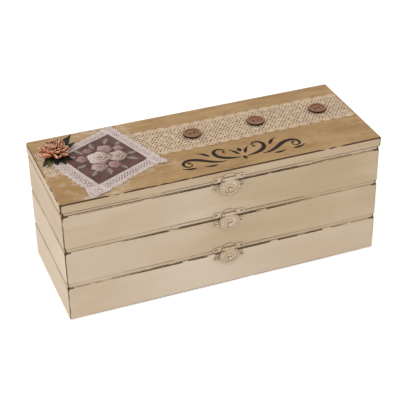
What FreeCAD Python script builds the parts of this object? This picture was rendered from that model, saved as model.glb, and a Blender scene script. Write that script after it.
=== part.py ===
"""A three-tier wooden craft box: two hinged trays and a hinged lid stacked on a bottom tray.

Every tier is hinged at the back on the tier below it and is held at the front by a small clasp
whose tongue swings down over a lug. The lid carries lace, a square print, buttons and a flower.

Millimetres. The origin is the centre of the underside, +X runs to the right along the box,
+Y to the back and +Z up, so the clasps face -Y.
"""
import FreeCAD, Part
import os
import re

import Sketcher

SIZES = {
    # the box
    "box_width": 300.0,
    "box_depth": 114.0,
    "wall": 6.0,
    "bottom_height": 34.2,
    "tier_wall": 33.6,
    "tier_ply": 3.4,
    "ply_inset": 1.0,
    "bottom_ply": 3.2,
    "corner_ease": 2.0,
    "edge_ease": 0.9,
    # the lid
    "lid_board": 9.6,
    "lid_ply": 3.1,
    "lid_overhang": 0.7,
    # the stop hinges at the back
    "hinge_spacing": 190.0,
    "hinge_width": 24.0,
    "leaf_height": 11.5,
    "leaf_thick": 0.9,
    "knuckle_radius": 2.2,
    "knuckle_middle": 8.0,
    "knuckle_gap": 0.15,
    "knuckle_relief": 2.6,
    "axis_out": 2.3,
    "pin_radius": 1.0,
    "pin_play": 0.05,
    "opening_angle": 100.0,
    "stop_inner": 1.7,
    "stop_outer": 5.4,
    "stop_thick": 0.9,
    "stop_clear": 0.1,
    "screw_spacing": 14.0,
    "screw_drop": 8.2,
    "screw_head": 1.6,
    "screw_dome": 0.8,
    "screw_shank": 0.8,
    "screw_length": 5.2,
    # the clasps at the front
    "clasp_shift": 1.2,
    "plate_thick": 0.8,
    "nail_spacing": 24.8,
    "nail_rise": 4.7,
    "nail_head": 1.3,
    "nail_dome": 0.7,
    "nail_shank": 0.55,
    "nail_length": 5.0,
    "hole_play": 0.1,
    "ear_radius": 2.7,
    "bar_half": 2.5,
    "arch_radius": 7.2,
    "arch_top": 9.3,
    "barrel_out": 1.6,
    "barrel_rise": 4.4,
    "barrel_radius": 1.4,
    "barrel_relief": 1.65,
    "barrel_cheek": 1.7,
    "rivet_radius": 0.6,
    "tongue_width": 9.5,
    "tongue_thick": 1.0,
    "tongue_off": 1.3,
    "disc_wide": 9.8,
    "disc_tall": 8.1,
    "disc_drop": 3.3,
    "rim_inset": 0.8,
    "rim_wide": 1.2,
    "rim_height": 0.3,
    "boss_radius": 4.2,
    "boss_height": 0.6,
    "boss_bevel": 0.35,
    "lug_half": 1.6,
    "lug_drop": 5.8,
    "lug_top": 3.8,
    "lug_reach": 3.4,
    "slot_play": 0.45,
    "catch_radius": 6.5,
    "through_cut": 60.0,
    # the lace band along the lid
    "band_length": 298.0,
    "band_width": 46.0,
    "band_y": 11.3,
    "band_thick": 0.5,
    # the print and the lace frame round it, both a little out of square
    "print_half": 28.8,
    "print_skew": 1.6,
    "print_x": -93.9,
    "print_y": 1.5,
    "print_turn": 22.6,
    "print_thick": 1.3,
    "frame_half": 40.4,
    "frame_skew": 2.2,
    "frame_shift": 1.4,
    "strip_thick": 1.1,
    # the buttons
    "button_radius": 8.5,
    "button_foot": 6.9,
    "button_thick": 3.0,
    "button_rim": 2.2,
    "button_well": 5.2,
    "button_dish": 0.8,
    "button_hole": 0.9,
    "button_hole_spacing": 4.0,
    "button_pitch": 62.8,
    "button_first": -6.8,
    "button_y": 10.6,
    # the flower and its leaves
    "flower_x": -133.5,
    "flower_y": 21.5,
    "petal_thick": 3.2,
    "petal_outer": 11.4,
    "petal_middle": 8.0,
    "petal_inner": 4.4,
    "petal_wide": 4.8,
    "flower_height": 12.8,
    "leaf_reach": 25.0,
    "leaf_middle": 15.0,
    "leaf_half": 4.5,
    "leaf_ply": 0.6,
}

doc = FreeCAD.newDocument("tiered_box")
sheet = doc.addObject("Spreadsheet::Sheet", "Sizes")
for row, (word, size) in enumerate(SIZES.items(), start=1):
    sheet.set("A%d" % row, word)
    sheet.set("B%d" % row, str(size))
    sheet.setAlias("B%d" % row, word)
doc.recompute()

WORDS = re.compile(r"\b(" + "|".join(SIZES) + r")\b")
X_AXIS = FreeCAD.Vector(1, 0, 0)
Z_AXIS = FreeCAD.Vector(0, 0, 1)
HALF_TURN = 180
FULL_TURN = 360
TINY = 1e-6
ROOT_POINT = (-1, 1)
DISC_SIDES = 32
BARREL_SIDES = 16
KNUCKLE_SIDES = 12
HEAD_SIDES = 8
SHANK_SIDES = 6
QUARTERS = 4
BUTTONS = 3
# how far out each ring's petals are widest, how many petals it has and how high it lies
PETAL_RINGS = (("petal_outer", 9, "0"), ("petal_middle", 8, "petal_thick"),
               ("petal_inner", 6, "2 * petal_thick"))
LEAF_ANGLES = (46, 225, 262)
subparts = []


def cell(text):
    """The expression with every size word written as a cell of the sheet."""
    return WORDS.sub(r"Sizes.\1", str(text))


def value(text):
    """What an expression of size words comes to now."""
    return float(sheet.evalExpression(cell(text)))


# ---------------------------------------------------------------- sketches and features

def new_body(label):
    """An empty body with its label."""
    body = doc.addObject("PartDesign::Body", label)
    body.Label = label
    return body


def sketch_on(body, role, lift="0"):
    """A sketch on one of the body's own planes, lifted along the plane's normal."""
    sketch = body.newObject("Sketcher::SketchObject", body.Name + "_sketch")
    plane = [item for item in body.Origin.OriginFeatures if item.Role == role][0]
    sketch.AttachmentSupport = [(plane, "")]
    sketch.MapMode = "FlatFace"
    sketch.setExpression("AttachmentOffset.Base.z", cell(lift))
    return sketch


def pin_point(sketch, element, point, across, along):
    """Ties a sketch point to the sketch's origin by two bound distances."""
    for kind, axis, text in (("DistanceX", -2, across), ("DistanceY", -1, along)):
        size = value(text)
        if abs(size) < TINY:
            sketch.addConstraint(Sketcher.Constraint("PointOnObject", element, point, axis))
            continue
        number = sketch.addConstraint(
            Sketcher.Constraint(kind, ROOT_POINT[0], ROOT_POINT[1], element, point, size))
        sketch.setExpression("Constraints[%d]" % number, cell(text))


def draw_outline(sketch, corners):
    """A closed run of straight lines through bound corners."""
    places = [FreeCAD.Vector(value(across), value(along), 0) for across, along in corners]
    first = sketch.GeometryCount
    count = len(places)
    for index in range(count):
        sketch.addGeometry(Part.LineSegment(places[index], places[(index + 1) % count]))
    for index in range(count):
        following = first + (index + 1) % count
        sketch.addConstraint(Sketcher.Constraint("Coincident", first + index, 2, following, 1))
    for index, (across, along) in enumerate(corners):
        pin_point(sketch, first + index, 1, across, along)


def draw_rectangle(sketch, left, right, low, high):
    """A rectangle between bound sides."""
    draw_outline(sketch, [(left, low), (right, low), (right, high), (left, high)])


def draw_circle(sketch, across, along, radius):
    """A circle with a bound centre and radius."""
    centre = FreeCAD.Vector(value(across), value(along), 0)
    element = sketch.addGeometry(Part.Circle(centre, Z_AXIS, value(radius)))
    pin_point(sketch, element, 3, across, along)
    number = sketch.addConstraint(Sketcher.Constraint("Radius", element, value(radius)))
    sketch.setExpression("Constraints[%d]" % number, cell(radius))


def draw_facets(sketch, across, along, radius, sides, outside=False, tall=None):
    """A small round or oval drawn with flats, with its corners on the curve or its flats on it."""
    spread = " / cos(%g deg)" % (HALF_TURN / sides) if outside else ""
    corners = []
    for number in range(sides):
        angle = (number + 0.5) * FULL_TURN / sides
        corners.append(("%s + (%s)%s * cos(%g deg)" % (across, radius, spread, angle),
                        "%s + (%s)%s * sin(%g deg)" % (along, tall or radius, spread, angle)))
    draw_outline(sketch, corners)


def pad(body, sketch, length, middle=False, back=False):
    """Adds material on a sketch: to one side, or to both sides of its plane."""
    feature = body.newObject("PartDesign::Pad", body.Name + "_pad")
    feature.Profile = sketch
    feature.setExpression("Length", cell(length))
    feature.Midplane = middle
    feature.Reversed = back
    doc.recompute()
    return feature


def pocket(body, sketch, length):
    """Removes material on both sides of a sketch's plane, and makes sure that some went."""
    before = body.Shape.Volume
    feature = body.newObject("PartDesign::Pocket", body.Name + "_pocket")
    feature.Profile = sketch
    feature.setExpression("Length", cell(length))
    feature.Midplane = True
    doc.recompute()
    if not body.Shape.Volume < before - TINY:
        raise RuntimeError("a pocket of %s cuts nothing" % body.Label)
    return feature


def turn(body, sketch):
    """A full turn of a sketch about its upright axis."""
    feature = body.newObject("PartDesign::Revolution", body.Name + "_turn")
    feature.Profile = sketch
    feature.ReferenceAxis = (sketch, ["V_Axis"])
    feature.Angle = FULL_TURN
    doc.recompute()
    return feature


def chosen_edges(body, chosen):
    """The body's last feature and the names of those of its edges that a test picks."""
    numbered = enumerate(body.Tip.Shape.Edges, start=1)
    return body.Tip, ["Edge%d" % number for number, edge in numbered if chosen(edge)]


def round_edges(body, radius, chosen):
    """Rounds the edges of the body that a test picks."""
    feature_base = chosen_edges(body, chosen)
    feature = body.newObject("PartDesign::Fillet", body.Name + "_round")
    feature.Base = feature_base
    feature.setExpression("Radius", cell(radius))
    doc.recompute()


def bevel_edges(body, size, chosen):
    """Bevels the edges of the body that a test picks."""
    feature_base = chosen_edges(body, chosen)
    feature = body.newObject("PartDesign::Chamfer", body.Name + "_bevel")
    feature.Base = feature_base
    feature.setExpression("Size", cell(size))
    doc.recompute()


def repeat_round(body, feature, sketch, count):
    """Repeats a feature round its sketch's normal."""
    ring = body.newObject("PartDesign::PolarPattern", body.Name + "_ring")
    ring.Originals = [feature]
    ring.Axis = (sketch, ["N_Axis"])
    ring.Angle = FULL_TURN
    ring.Occurrences = count
    body.Tip = ring
    doc.recompute()


def put(item, across, along, up, axis=None, angle="0"):
    """Binds where an object stands and how it is turned."""
    for letter, text in (("x", across), ("y", along), ("z", up)):
        item.setExpression("Placement.Base." + letter, cell(text))
    if axis is not None:
        item.Placement = FreeCAD.Placement(item.Placement.Base, FreeCAD.Rotation(axis, value(angle)))
    doc.recompute()
    return item


def keep(item):
    """Counts an object as one of the named sub-parts."""
    subparts.append(item)
    return item


def group(label, pattern, places, axis=None, angle="0"):
    """Copies of one piece at several places, as one sub-part of separate solids."""
    copies = []
    for across, along, up in places:
        copy = doc.addObject("App::Link", label + "_copy")
        copy.LinkedObject = pattern
        copy.LinkTransform = False
        copies.append(put(copy, across, along, up, axis, angle))
    compound = doc.addObject("Part::Compound", label)
    compound.Label = label
    compound.Links = copies
    doc.recompute()
    return keep(compound)


# ---------------------------------------------------------------- the boards of the tiers

def lies_at(edge, letter, place):
    """Whether the whole edge lies in one plane across an axis."""
    box = edge.BoundBox
    low = getattr(box, letter + "Min")
    high = getattr(box, letter + "Max")
    return abs(low - place) < TINY and abs(high - place) < TINY


def board(label, width, depth, height, place):
    """A plain board, its sketch centred on its own origin and padded upwards."""
    body = new_body(label)
    sketch = sketch_on(body, "XY_Plane")
    draw_rectangle(sketch, "-(%s) / 2" % width, "(%s) / 2" % width,
                   "-(%s) / 2" % depth, "(%s) / 2" % depth)
    pad(body, sketch, height)
    return keep(put(body, *place))


def ease_long_wall(body, height, outward):
    """Eases the two long edges that a front or back wall shows."""
    face = outward * value("wall / 2")
    top = value(height)
    bevel_edges(body, "edge_ease",
                lambda edge: lies_at(edge, "Y", face)
                and (lies_at(edge, "Z", 0) or lies_at(edge, "Z", top)))


def ease_end_wall(body, height, outward):
    """Rounds the corners of an end wall, then eases the edges above and below them."""
    inner = -outward * value("wall / 2")
    outer = outward * value("wall / 2")
    top = value(height)
    round_edges(body, "corner_ease",
                lambda edge: lies_at(edge, "X", outer)
                and edge.BoundBox.ZLength > top / 2)
    bevel_edges(body, "edge_ease",
                lambda edge: (lies_at(edge, "Z", 0) or lies_at(edge, "Z", top))
                and not lies_at(edge, "X", inner))


def tray_walls(tier, height, base):
    """The four walls of a tray: the end walls run the full depth, the long walls stand between."""
    long_wall = "box_width - 2 * wall"
    long_y = "(box_depth - wall) / 2"
    end_x = "(box_width - wall) / 2"
    front = board(tier + "_front", long_wall, "wall", height, ("0", "-" + long_y, base))
    ease_long_wall(front, height, -1)
    back = board(tier + "_back", long_wall, "wall", height, ("0", long_y, base))
    ease_long_wall(back, height, 1)
    left = board(tier + "_left_end", "wall", "box_depth", height, ("-" + end_x, "0", base))
    ease_end_wall(left, height, -1)
    right = board(tier + "_right_end", "wall", "box_depth", height, (end_x, "0", base))
    ease_end_wall(right, height, 1)


def bottom_tray():
    """The lowest tray: its ply base is let in between the walls, flush with their undersides."""
    tray_walls("bottom", "bottom_height", "0")
    board("bottom_base", "box_width - 2 * wall", "box_depth - 2 * wall", "bottom_ply", ("0", "0", "0"))


def upper_tray(tier, seam):
    """A hinged tray: its ply base lies under the walls, set in a little all round."""
    board(tier + "_base", "box_width - 2 * ply_inset", "box_depth - 2 * ply_inset", "tier_ply",
          ("0", "0", seam))
    tray_walls(tier, "tier_wall", seam + " + tier_ply")


def lid(seam):
    """The lid: a thick board that overhangs a little, and a ply liner under it."""
    board("lid_liner", "box_width - 2 * ply_inset", "box_depth - 2 * ply_inset", "lid_ply",
          ("0", "0", seam))
    body = board("lid_board", "box_width + 2 * lid_overhang", "box_depth + lid_overhang", "lid_board",
                 ("0", "-lid_overhang / 2", seam + " + lid_ply"))
    top = value("lid_board")
    round_edges(body, "corner_ease", lambda edge: edge.BoundBox.ZLength > top / 2)
    bevel_edges(body, "edge_ease", lambda edge: lies_at(edge, "Z", 0) or lies_at(edge, "Z", top))


# ---------------------------------------------------------------- fasteners

def fastener(label, head, dome, shank, length):
    """A screw or nail: its head sits above the origin and its shank below."""
    body = new_body(label)
    top = sketch_on(body, "XY_Plane")
    draw_facets(top, "0", "0", head, HEAD_SIDES)
    pad(body, top, dome)
    stem = sketch_on(body, "XY_Plane")
    draw_facets(stem, "0", "0", shank, SHANK_SIDES)
    pad(body, stem, length, back=True)
    return body


# ---------------------------------------------------------------- the stop hinges

def stop_lip(sketch, up):
    """A flat lip that leaves the barrel at half the opening angle: two lips meet at the limit."""
    slope = "(opening_angle / 2 * 1deg)"
    near = "stop_clear"
    far = "(stop_clear + stop_thick)"
    corners = []
    for reach, side in (("stop_inner", near), ("stop_outer", near),
                        ("stop_outer", far), ("stop_inner", far)):
        across = "%s * cos(%s) - %s * sin(%s)" % (reach, slope, side, slope)
        rise = "%s * sin(%s) + %s * cos(%s)" % (reach, slope, side, slope)
        corners.append((across, rise if up else "-(%s)" % rise))
    draw_outline(sketch, corners)


def knuckle_room(sketch):
    """The square notch that leaves room for the other leaf's knuckle."""
    draw_rectangle(sketch, "-knuckle_relief", "knuckle_relief", "-knuckle_relief", "knuckle_relief")


def hinge_leaf(label, up, place):
    """A leaf with its knuckles, its stop lip and two screw holes.

    The origin is on the pin's axis. The fixed leaf hangs below the axis and has the two outer
    knuckles; the moving leaf stands above it and has the middle one.
    """
    body = new_body(label)
    sign = "" if up else "-"
    plate = sketch_on(body, "XZ_Plane", "axis_out")
    draw_rectangle(plate, "-hinge_width / 2", "hinge_width / 2", "0", sign + "leaf_height")
    pad(body, plate, "leaf_thick", back=True)

    barrel = sketch_on(body, "YZ_Plane")
    draw_facets(barrel, "0", "0", "knuckle_radius", KNUCKLE_SIDES)
    pad(body, barrel, "knuckle_middle" if up else "hinge_width", middle=True)

    lip = sketch_on(body, "YZ_Plane")
    stop_lip(lip, up)
    pad(body, lip, "hinge_width", middle=True)

    if up:
        cheek = "(hinge_width - knuckle_middle) / 4 + knuckle_middle / 2"
        for side in ("", "-"):
            relief = sketch_on(body, "YZ_Plane", side + "(" + cheek + ")")
            knuckle_room(relief)
            pocket(body, relief, "(hinge_width - knuckle_middle) / 2")
    else:
        relief = sketch_on(body, "YZ_Plane")
        knuckle_room(relief)
        pocket(body, relief, "knuckle_middle + 2 * knuckle_gap")

    bore = sketch_on(body, "YZ_Plane")
    draw_facets(bore, "0", "0", "pin_radius + pin_play" if up else "pin_radius",
                KNUCKLE_SIDES, outside=True)
    pocket(body, bore, "through_cut")

    holes = sketch_on(body, "XZ_Plane", "axis_out")
    for side in ("", "-"):
        draw_facets(holes, side + "screw_spacing / 2", sign + "screw_drop",
                    "screw_shank + hole_play", SHANK_SIDES)
    pocket(body, holes, "through_cut")
    return keep(put(body, *place))


def hinges(tier, seam, pin):
    """The left and right hinge of one tier, with their pins."""
    axis_y = "box_depth / 2 + axis_out"
    places = []
    for side, sign in (("left", "-"), ("right", "")):
        place = (sign + "hinge_spacing / 2", axis_y, seam)
        hinge_leaf("%s_hinge_%s_fixed_leaf" % (tier, side), False, place)
        hinge_leaf("%s_hinge_%s_moving_leaf" % (tier, side), True, place)
        places.append(place)
    group(tier + "_hinge_pins", pin, places)


def hinge_screws(tier, screw, heights):
    """The screws that hold one tier's leaves, at the given heights."""
    face = "box_depth / 2 + leaf_thick"
    places = []
    for height in heights:
        for hinge_side in ("-", ""):
            for screw_side in ("-", "+"):
                across = "%shinge_spacing / 2 %s screw_spacing / 2" % (hinge_side, screw_side)
                places.append((across, face, height))
    group(tier + "_hinge_screws", screw, places, X_AXIS, "-90")


# ---------------------------------------------------------------- the clasps

def nail_plate(label, rise, centre, radius):
    """A plate with two nail ears joined by a bar, and a round middle. Its back lies at Y = 0."""
    body = new_body(label)
    flat = sketch_on(body, "XZ_Plane")
    draw_rectangle(flat, "-nail_spacing / 2", "nail_spacing / 2",
                   "%s - bar_half" % rise, "%s + bar_half" % rise)
    pad(body, flat, "plate_thick")
    for side in ("-", ""):
        ear = sketch_on(body, "XZ_Plane")
        draw_facets(ear, side + "nail_spacing / 2", rise, "ear_radius", BARREL_SIDES)
        pad(body, ear, "plate_thick")
    middle = sketch_on(body, "XZ_Plane")
    draw_facets(middle, "0", centre, radius, DISC_SIDES)
    pad(body, middle, "plate_thick")
    return body


def nail_holes(body, rise):
    """The two nail holes of a plate."""
    holes = sketch_on(body, "XZ_Plane")
    for side in ("-", ""):
        draw_facets(holes, side + "nail_spacing / 2", rise, "nail_shank + hole_play", SHANK_SIDES)
    pocket(body, holes, "through_cut")


def clasp_plate(label, place):
    """The arched upper plate with two cheeks that hold the rivet of the tongue."""
    body = nail_plate(label, "nail_rise", "(arch_top - arch_radius)", "arch_radius")
    below = sketch_on(body, "XZ_Plane")
    draw_rectangle(below, "-arch_radius", "arch_radius", "-arch_radius", "nail_rise - bar_half")
    pocket(body, below, "through_cut")

    barrel = sketch_on(body, "YZ_Plane")
    draw_facets(barrel, "-barrel_out", "barrel_rise", "barrel_radius", BARREL_SIDES)
    pad(body, barrel, "tongue_width + 2 * barrel_cheek + 2 * knuckle_gap", middle=True)
    relief = sketch_on(body, "YZ_Plane")
    draw_rectangle(relief, "-barrel_out - barrel_relief", "0",
                   "barrel_rise - barrel_relief", "barrel_rise + barrel_relief")
    pocket(body, relief, "tongue_width + 2 * knuckle_gap")
    bore = sketch_on(body, "YZ_Plane")
    draw_facets(bore, "-barrel_out", "barrel_rise", "rivet_radius", BARREL_SIDES, outside=True)
    pocket(body, bore, "through_cut")
    nail_holes(body, "nail_rise")
    return keep(put(body, *place))


def lug_square(sketch, play):
    """The flat upper part of the lug's U shape, wider all round by the play."""
    half = "(lug_half + %s)" % play
    draw_rectangle(sketch, "-" + half, half, "-lug_drop", "-lug_top + " + play)


def lug_round(sketch, play):
    """The round lower part of the lug's U shape, wider all round by the play."""
    draw_facets(sketch, "0", "-lug_drop", "lug_half + " + play, BARREL_SIDES)


def clasp_tongue(label, place):
    """The swinging tongue: a barrel, a short neck, an oval disc with a pressed rim, and a boss
    with the lug's slot."""
    body = new_body(label)
    disc = sketch_on(body, "XZ_Plane", "tongue_off")
    draw_facets(disc, "0", "-disc_drop", "disc_wide", DISC_SIDES, tall="disc_tall")
    pad(body, disc, "tongue_thick")
    rim = sketch_on(body, "XZ_Plane", "tongue_off + tongue_thick")
    for inset in ("rim_inset", "(rim_inset + rim_wide)"):
        draw_facets(rim, "0", "-disc_drop", "disc_wide - " + inset, DISC_SIDES,
                    tall="disc_tall - " + inset)
    pad(body, rim, "rim_height")
    shoulders = sketch_on(body, "XZ_Plane")
    low = "barrel_rise - barrel_radius - 2 * knuckle_gap"
    for near, far in (("tongue_width / 2", "disc_wide"), ("-disc_wide", "-tongue_width / 2")):
        draw_rectangle(shoulders, near, far, low, "disc_wide")
    pocket(body, shoulders, "through_cut")
    neck = sketch_on(body, "XZ_Plane", "tongue_off")
    draw_rectangle(neck, "-tongue_width / 2", "tongue_width / 2", "0", "barrel_rise")
    pad(body, neck, "tongue_thick")
    barrel = sketch_on(body, "YZ_Plane")
    draw_facets(barrel, "-barrel_out", "barrel_rise", "barrel_radius", BARREL_SIDES)
    pad(body, barrel, "tongue_width", middle=True)
    boss = sketch_on(body, "XZ_Plane", "tongue_off + tongue_thick")
    draw_facets(boss, "0", "-(lug_drop + lug_top) / 2", "boss_radius", BARREL_SIDES)
    pad(body, boss, "boss_height")
    boss_front = value("-(tongue_off + tongue_thick + boss_height)")
    bevel_edges(body, "boss_bevel", lambda edge: lies_at(edge, "Y", boss_front))
    for outline in (lug_square, lug_round):
        slot = sketch_on(body, "XZ_Plane")
        outline(slot, "slot_play")
        pocket(body, slot, "through_cut")
    bore = sketch_on(body, "YZ_Plane")
    draw_facets(bore, "-barrel_out", "barrel_rise", "rivet_radius + pin_play", BARREL_SIDES,
                outside=True)
    pocket(body, bore, "through_cut")
    return keep(put(body, *place))


def clasp_catch(label, reach, place):
    """The lower plate with the lug that stands through the tongue's slot."""
    body = nail_plate(label, "-nail_rise", "-nail_rise", "catch_radius")
    for outline in (lug_square, lug_round):
        lug = sketch_on(body, "XZ_Plane")
        outline(lug, "0")
        pad(body, lug, reach)
    nail_holes(body, "-nail_rise")
    return keep(put(body, *place))


def clasp(tier, seam, overhang, rivet):
    """One clasp: the plate, tongue and rivet on the tier, the catch on the tier below."""
    front = "-box_depth / 2"
    upper = ("clasp_shift", "%s - %s" % (front, overhang), seam)
    clasp_plate(tier + "_clasp_plate", upper)
    clasp_tongue(tier + "_clasp_tongue", upper)
    group(tier + "_clasp_rivet", rivet,
          [("clasp_shift", "%s - %s - barrel_out" % (front, overhang), seam + " + barrel_rise")])
    clasp_catch(tier + "_clasp_catch", "lug_reach + " + overhang, ("clasp_shift", front, seam))


def clasp_nails(tier, nail, rows):
    """The nails of one tier's clasp plates: each row is a height and an overhang."""
    places = []
    for height, overhang in rows:
        for side in ("-", "+"):
            places.append(("clasp_shift %s nail_spacing / 2" % side,
                           "-box_depth / 2 - plate_thick - " + overhang, height))
    group(tier + "_clasp_nails", nail, places, X_AXIS, "90")


def rod(label, radius, length):
    """A plain rod along X, centred on its own origin."""
    body = new_body(label)
    sketch = sketch_on(body, "YZ_Plane")
    draw_facets(sketch, "0", "0", radius, KNUCKLE_SIDES)
    pad(body, sketch, length, middle=True)
    return body


# ---------------------------------------------------------------- the lid's trimmings

def lace_band(top):
    """The lace band along the lid."""
    return board("lace_band", "band_length", "band_width", "band_thick", ("0", "band_y", top))


def over_band(label, item, band):
    """A piece glued over the band: its underside is cut away where the band passes below."""
    cut = doc.addObject("Part::Cut", label)
    cut.Label = label
    cut.Base = item
    cut.Tool = band
    doc.recompute()
    return keep(cut)


def leaning_square(half, skew, shift):
    """The corners of a square that leans, so that one of its diagonals is the longer one."""
    far = "(%s + %s)" % (half, skew)
    near = "(%s - %s)" % (half, skew)
    signs = (("", far, "", far), ("-", near, "", near), ("-", far, "-", far), ("", near, "-", near))
    return [("%s%s - %s" % (across, reach, shift), "%s%s - %s" % (along, rise, shift))
            for across, reach, along, rise in signs]


def on_print(label, corners, thick, top):
    """A flat piece drawn in the print's own square, which is turned on the lid."""
    body = new_body(label)
    sketch = sketch_on(body, "XY_Plane")
    draw_outline(sketch, corners)
    pad(body, sketch, thick)
    return put(body, "print_x", "print_y", top, Z_AXIS, "print_turn")


def lace_frame(top, band):
    """Four mitred strips of lace round the print."""
    inner = leaning_square("print_half", "print_skew", "0")
    outer = leaning_square("frame_half", "frame_skew", "frame_shift")
    strips = []
    for number in range(QUARTERS):
        after = (number + 1) % QUARTERS
        corners = [inner[number], inner[after], outer[after], outer[number]]
        strips.append(on_print("lace_strip", corners, "strip_thick", top))
    ring = doc.addObject("Part::Compound", "lace_strips")
    ring.Links = strips
    doc.recompute()
    return over_band("lace_frame", ring, band)


def print_card(top, band):
    """The print, turned on the lid."""
    corners = leaning_square("print_half", "print_skew", "0")
    return over_band("print_card", on_print("print_blank", corners, "print_thick", top), band)


def buttons(top):
    """Turned wooden buttons with a slanted foot, a rim round a flat well, and two holes."""
    body = new_body("button")
    sketch = sketch_on(body, "XZ_Plane")
    draw_outline(sketch, [
        ("0", "0"), ("button_foot", "0"), ("button_radius", "button_thick / 2"),
        ("button_radius", "button_thick"), ("button_radius - button_rim", "button_thick"),
        ("button_well", "button_thick - button_dish"), ("0", "button_thick - button_dish")])
    turn(body, sketch)
    holes = sketch_on(body, "XY_Plane")
    for side in ("-", ""):
        draw_facets(holes, side + "button_hole_spacing / 2", "0", "button_hole", HEAD_SIDES)
    pocket(body, holes, "through_cut")
    group("buttons", body, [("button_first + %d * button_pitch" % number, "button_y", top)
                            for number in range(BUTTONS)])


def flower(top):
    """A many-petalled paper flower: rings of petals round a core."""
    body = new_body("paper_flower")
    core = sketch_on(body, "XY_Plane")
    draw_circle(core, "0", "0", "petal_middle")
    pad(body, core, "petal_thick")
    heart = sketch_on(body, "XY_Plane")
    draw_circle(heart, "0", "0", "petal_inner")
    pad(body, heart, "flower_height")
    for reach, count, lift in PETAL_RINGS:
        petal = sketch_on(body, "XY_Plane", lift)
        draw_outline(petal, [
            ("0", "0"), (reach, "-petal_wide"), (reach + " + petal_wide / 2", "-petal_wide / 2"),
            (reach + " + petal_wide", "0"), (reach + " + petal_wide / 2", "petal_wide / 2"),
            (reach, "petal_wide")])
        first = pad(body, petal, "petal_thick")
        repeat_round(body, first, petal, count)
    return keep(put(body, "flower_x", "flower_y", top))


def flower_leaves(top):
    """Pointed leaves that look out from under the flower."""
    body = new_body("leaf")
    sketch = sketch_on(body, "XY_Plane")
    draw_outline(sketch, [("petal_inner", "0"), ("leaf_middle", "-leaf_half"), ("leaf_reach", "0"),
                          ("leaf_middle", "leaf_half")])
    pad(body, sketch, "leaf_ply")
    leaves = []
    for angle in LEAF_ANGLES:
        copy = doc.addObject("App::Link", "leaf_copy")
        copy.LinkedObject = body
        copy.LinkTransform = False
        leaves.append(put(copy, "flower_x", "flower_y", top, Z_AXIS, str(angle)))
    compound = doc.addObject("Part::Compound", "flower_leaves")
    compound.Label = "flower_leaves"
    compound.Links = leaves
    doc.recompute()
    return keep(compound)


# ---------------------------------------------------------------- the whole box

MIDDLE_SEAM = "bottom_height"
TOP_SEAM = "(bottom_height + tier_ply + tier_wall)"
LID_SEAM = "(bottom_height + 2 * (tier_ply + tier_wall))"
LID_TOP = "(%s + lid_ply + lid_board)" % LID_SEAM

bottom_tray()
upper_tray("middle", MIDDLE_SEAM)
upper_tray("top", TOP_SEAM)
lid(LID_SEAM)

hinge_pin = rod("hinge_pin", "pin_radius", "hinge_width")
hinge_screw = fastener("hinge_screw", "screw_head", "screw_dome", "screw_shank", "screw_length")
clasp_rivet = rod("clasp_rivet", "rivet_radius", "tongue_width + 2 * barrel_cheek + 2 * knuckle_gap")
clasp_nail = fastener("clasp_nail", "nail_head", "nail_dome", "nail_shank", "nail_length")

for tier, seam, overhang in (("middle", MIDDLE_SEAM, "0"), ("top", TOP_SEAM, "0"),
                             ("lid", LID_SEAM, "lid_overhang")):
    hinges(tier, seam, hinge_pin)
    clasp(tier, seam, overhang, clasp_rivet)

ABOVE = "%s + screw_drop"
BELOW = "%s - screw_drop"
hinge_screws("bottom", hinge_screw, [BELOW % MIDDLE_SEAM])
hinge_screws("middle", hinge_screw, [ABOVE % MIDDLE_SEAM, BELOW % TOP_SEAM])
hinge_screws("top", hinge_screw, [ABOVE % TOP_SEAM, BELOW % LID_SEAM])
hinge_screws("lid", hinge_screw, [ABOVE % LID_SEAM])

OVER = "%s + nail_rise"
UNDER = "%s - nail_rise"
clasp_nails("bottom", clasp_nail, [(UNDER % MIDDLE_SEAM, "0")])
clasp_nails("middle", clasp_nail, [(OVER % MIDDLE_SEAM, "0"), (UNDER % TOP_SEAM, "0")])
clasp_nails("top", clasp_nail, [(OVER % TOP_SEAM, "0"), (UNDER % LID_SEAM, "0")])
clasp_nails("lid", clasp_nail, [(OVER % LID_SEAM, "lid_overhang")])

band = lace_band(LID_TOP)
lace_frame(LID_TOP, band)
print_card(LID_TOP, band)
buttons(LID_TOP + " + band_thick")
flower_leaves(LID_TOP + " + strip_thick")
flower(LID_TOP + " + strip_thick + leaf_ply")

# ---------------------------------------------------------------- checks and files

doc.recompute()
for item in doc.Objects:
    if "Invalid" in item.State or "Error" in item.State:
        raise RuntimeError("%s is in state %s" % (item.Label, item.State))
os.makedirs("parts", exist_ok=True)
for item in subparts:
    shape = item.Shape
    if shape.isNull() or not shape.isValid() or not shape.Solids:
        raise RuntimeError("%s has no valid solid" % item.Label)
    shape.exportStep("parts/%s.step" % item.Label)
print("%d sub-parts, %d solids" % (len(subparts), sum(len(item.Shape.Solids) for item in subparts)))
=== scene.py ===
"""Tiered keepsake box: the finish of its boards and fittings, and the trimmings on its lid."""

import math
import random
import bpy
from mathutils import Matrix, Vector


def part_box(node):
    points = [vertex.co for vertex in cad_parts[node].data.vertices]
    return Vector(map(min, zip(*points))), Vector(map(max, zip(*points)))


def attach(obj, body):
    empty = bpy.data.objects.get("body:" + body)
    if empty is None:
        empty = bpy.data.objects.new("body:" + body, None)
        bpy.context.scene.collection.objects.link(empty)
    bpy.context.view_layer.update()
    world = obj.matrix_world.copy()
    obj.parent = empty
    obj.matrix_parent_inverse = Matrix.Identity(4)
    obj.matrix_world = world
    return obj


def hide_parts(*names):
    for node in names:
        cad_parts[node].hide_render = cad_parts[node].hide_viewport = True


bl_info = {
    "name": "Tiered Keepsake Box",
    "version": (1, 0, 0),
    "blender": (4, 5, 0),
    "location": "3D View > Sidebar > Keepsake Box",
    "description": "Finishes a painted three-tier box and makes its lace, print, buttons and flower",
    "category": "Object",
}

import bpy
from mathutils import Matrix, Vector

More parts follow.
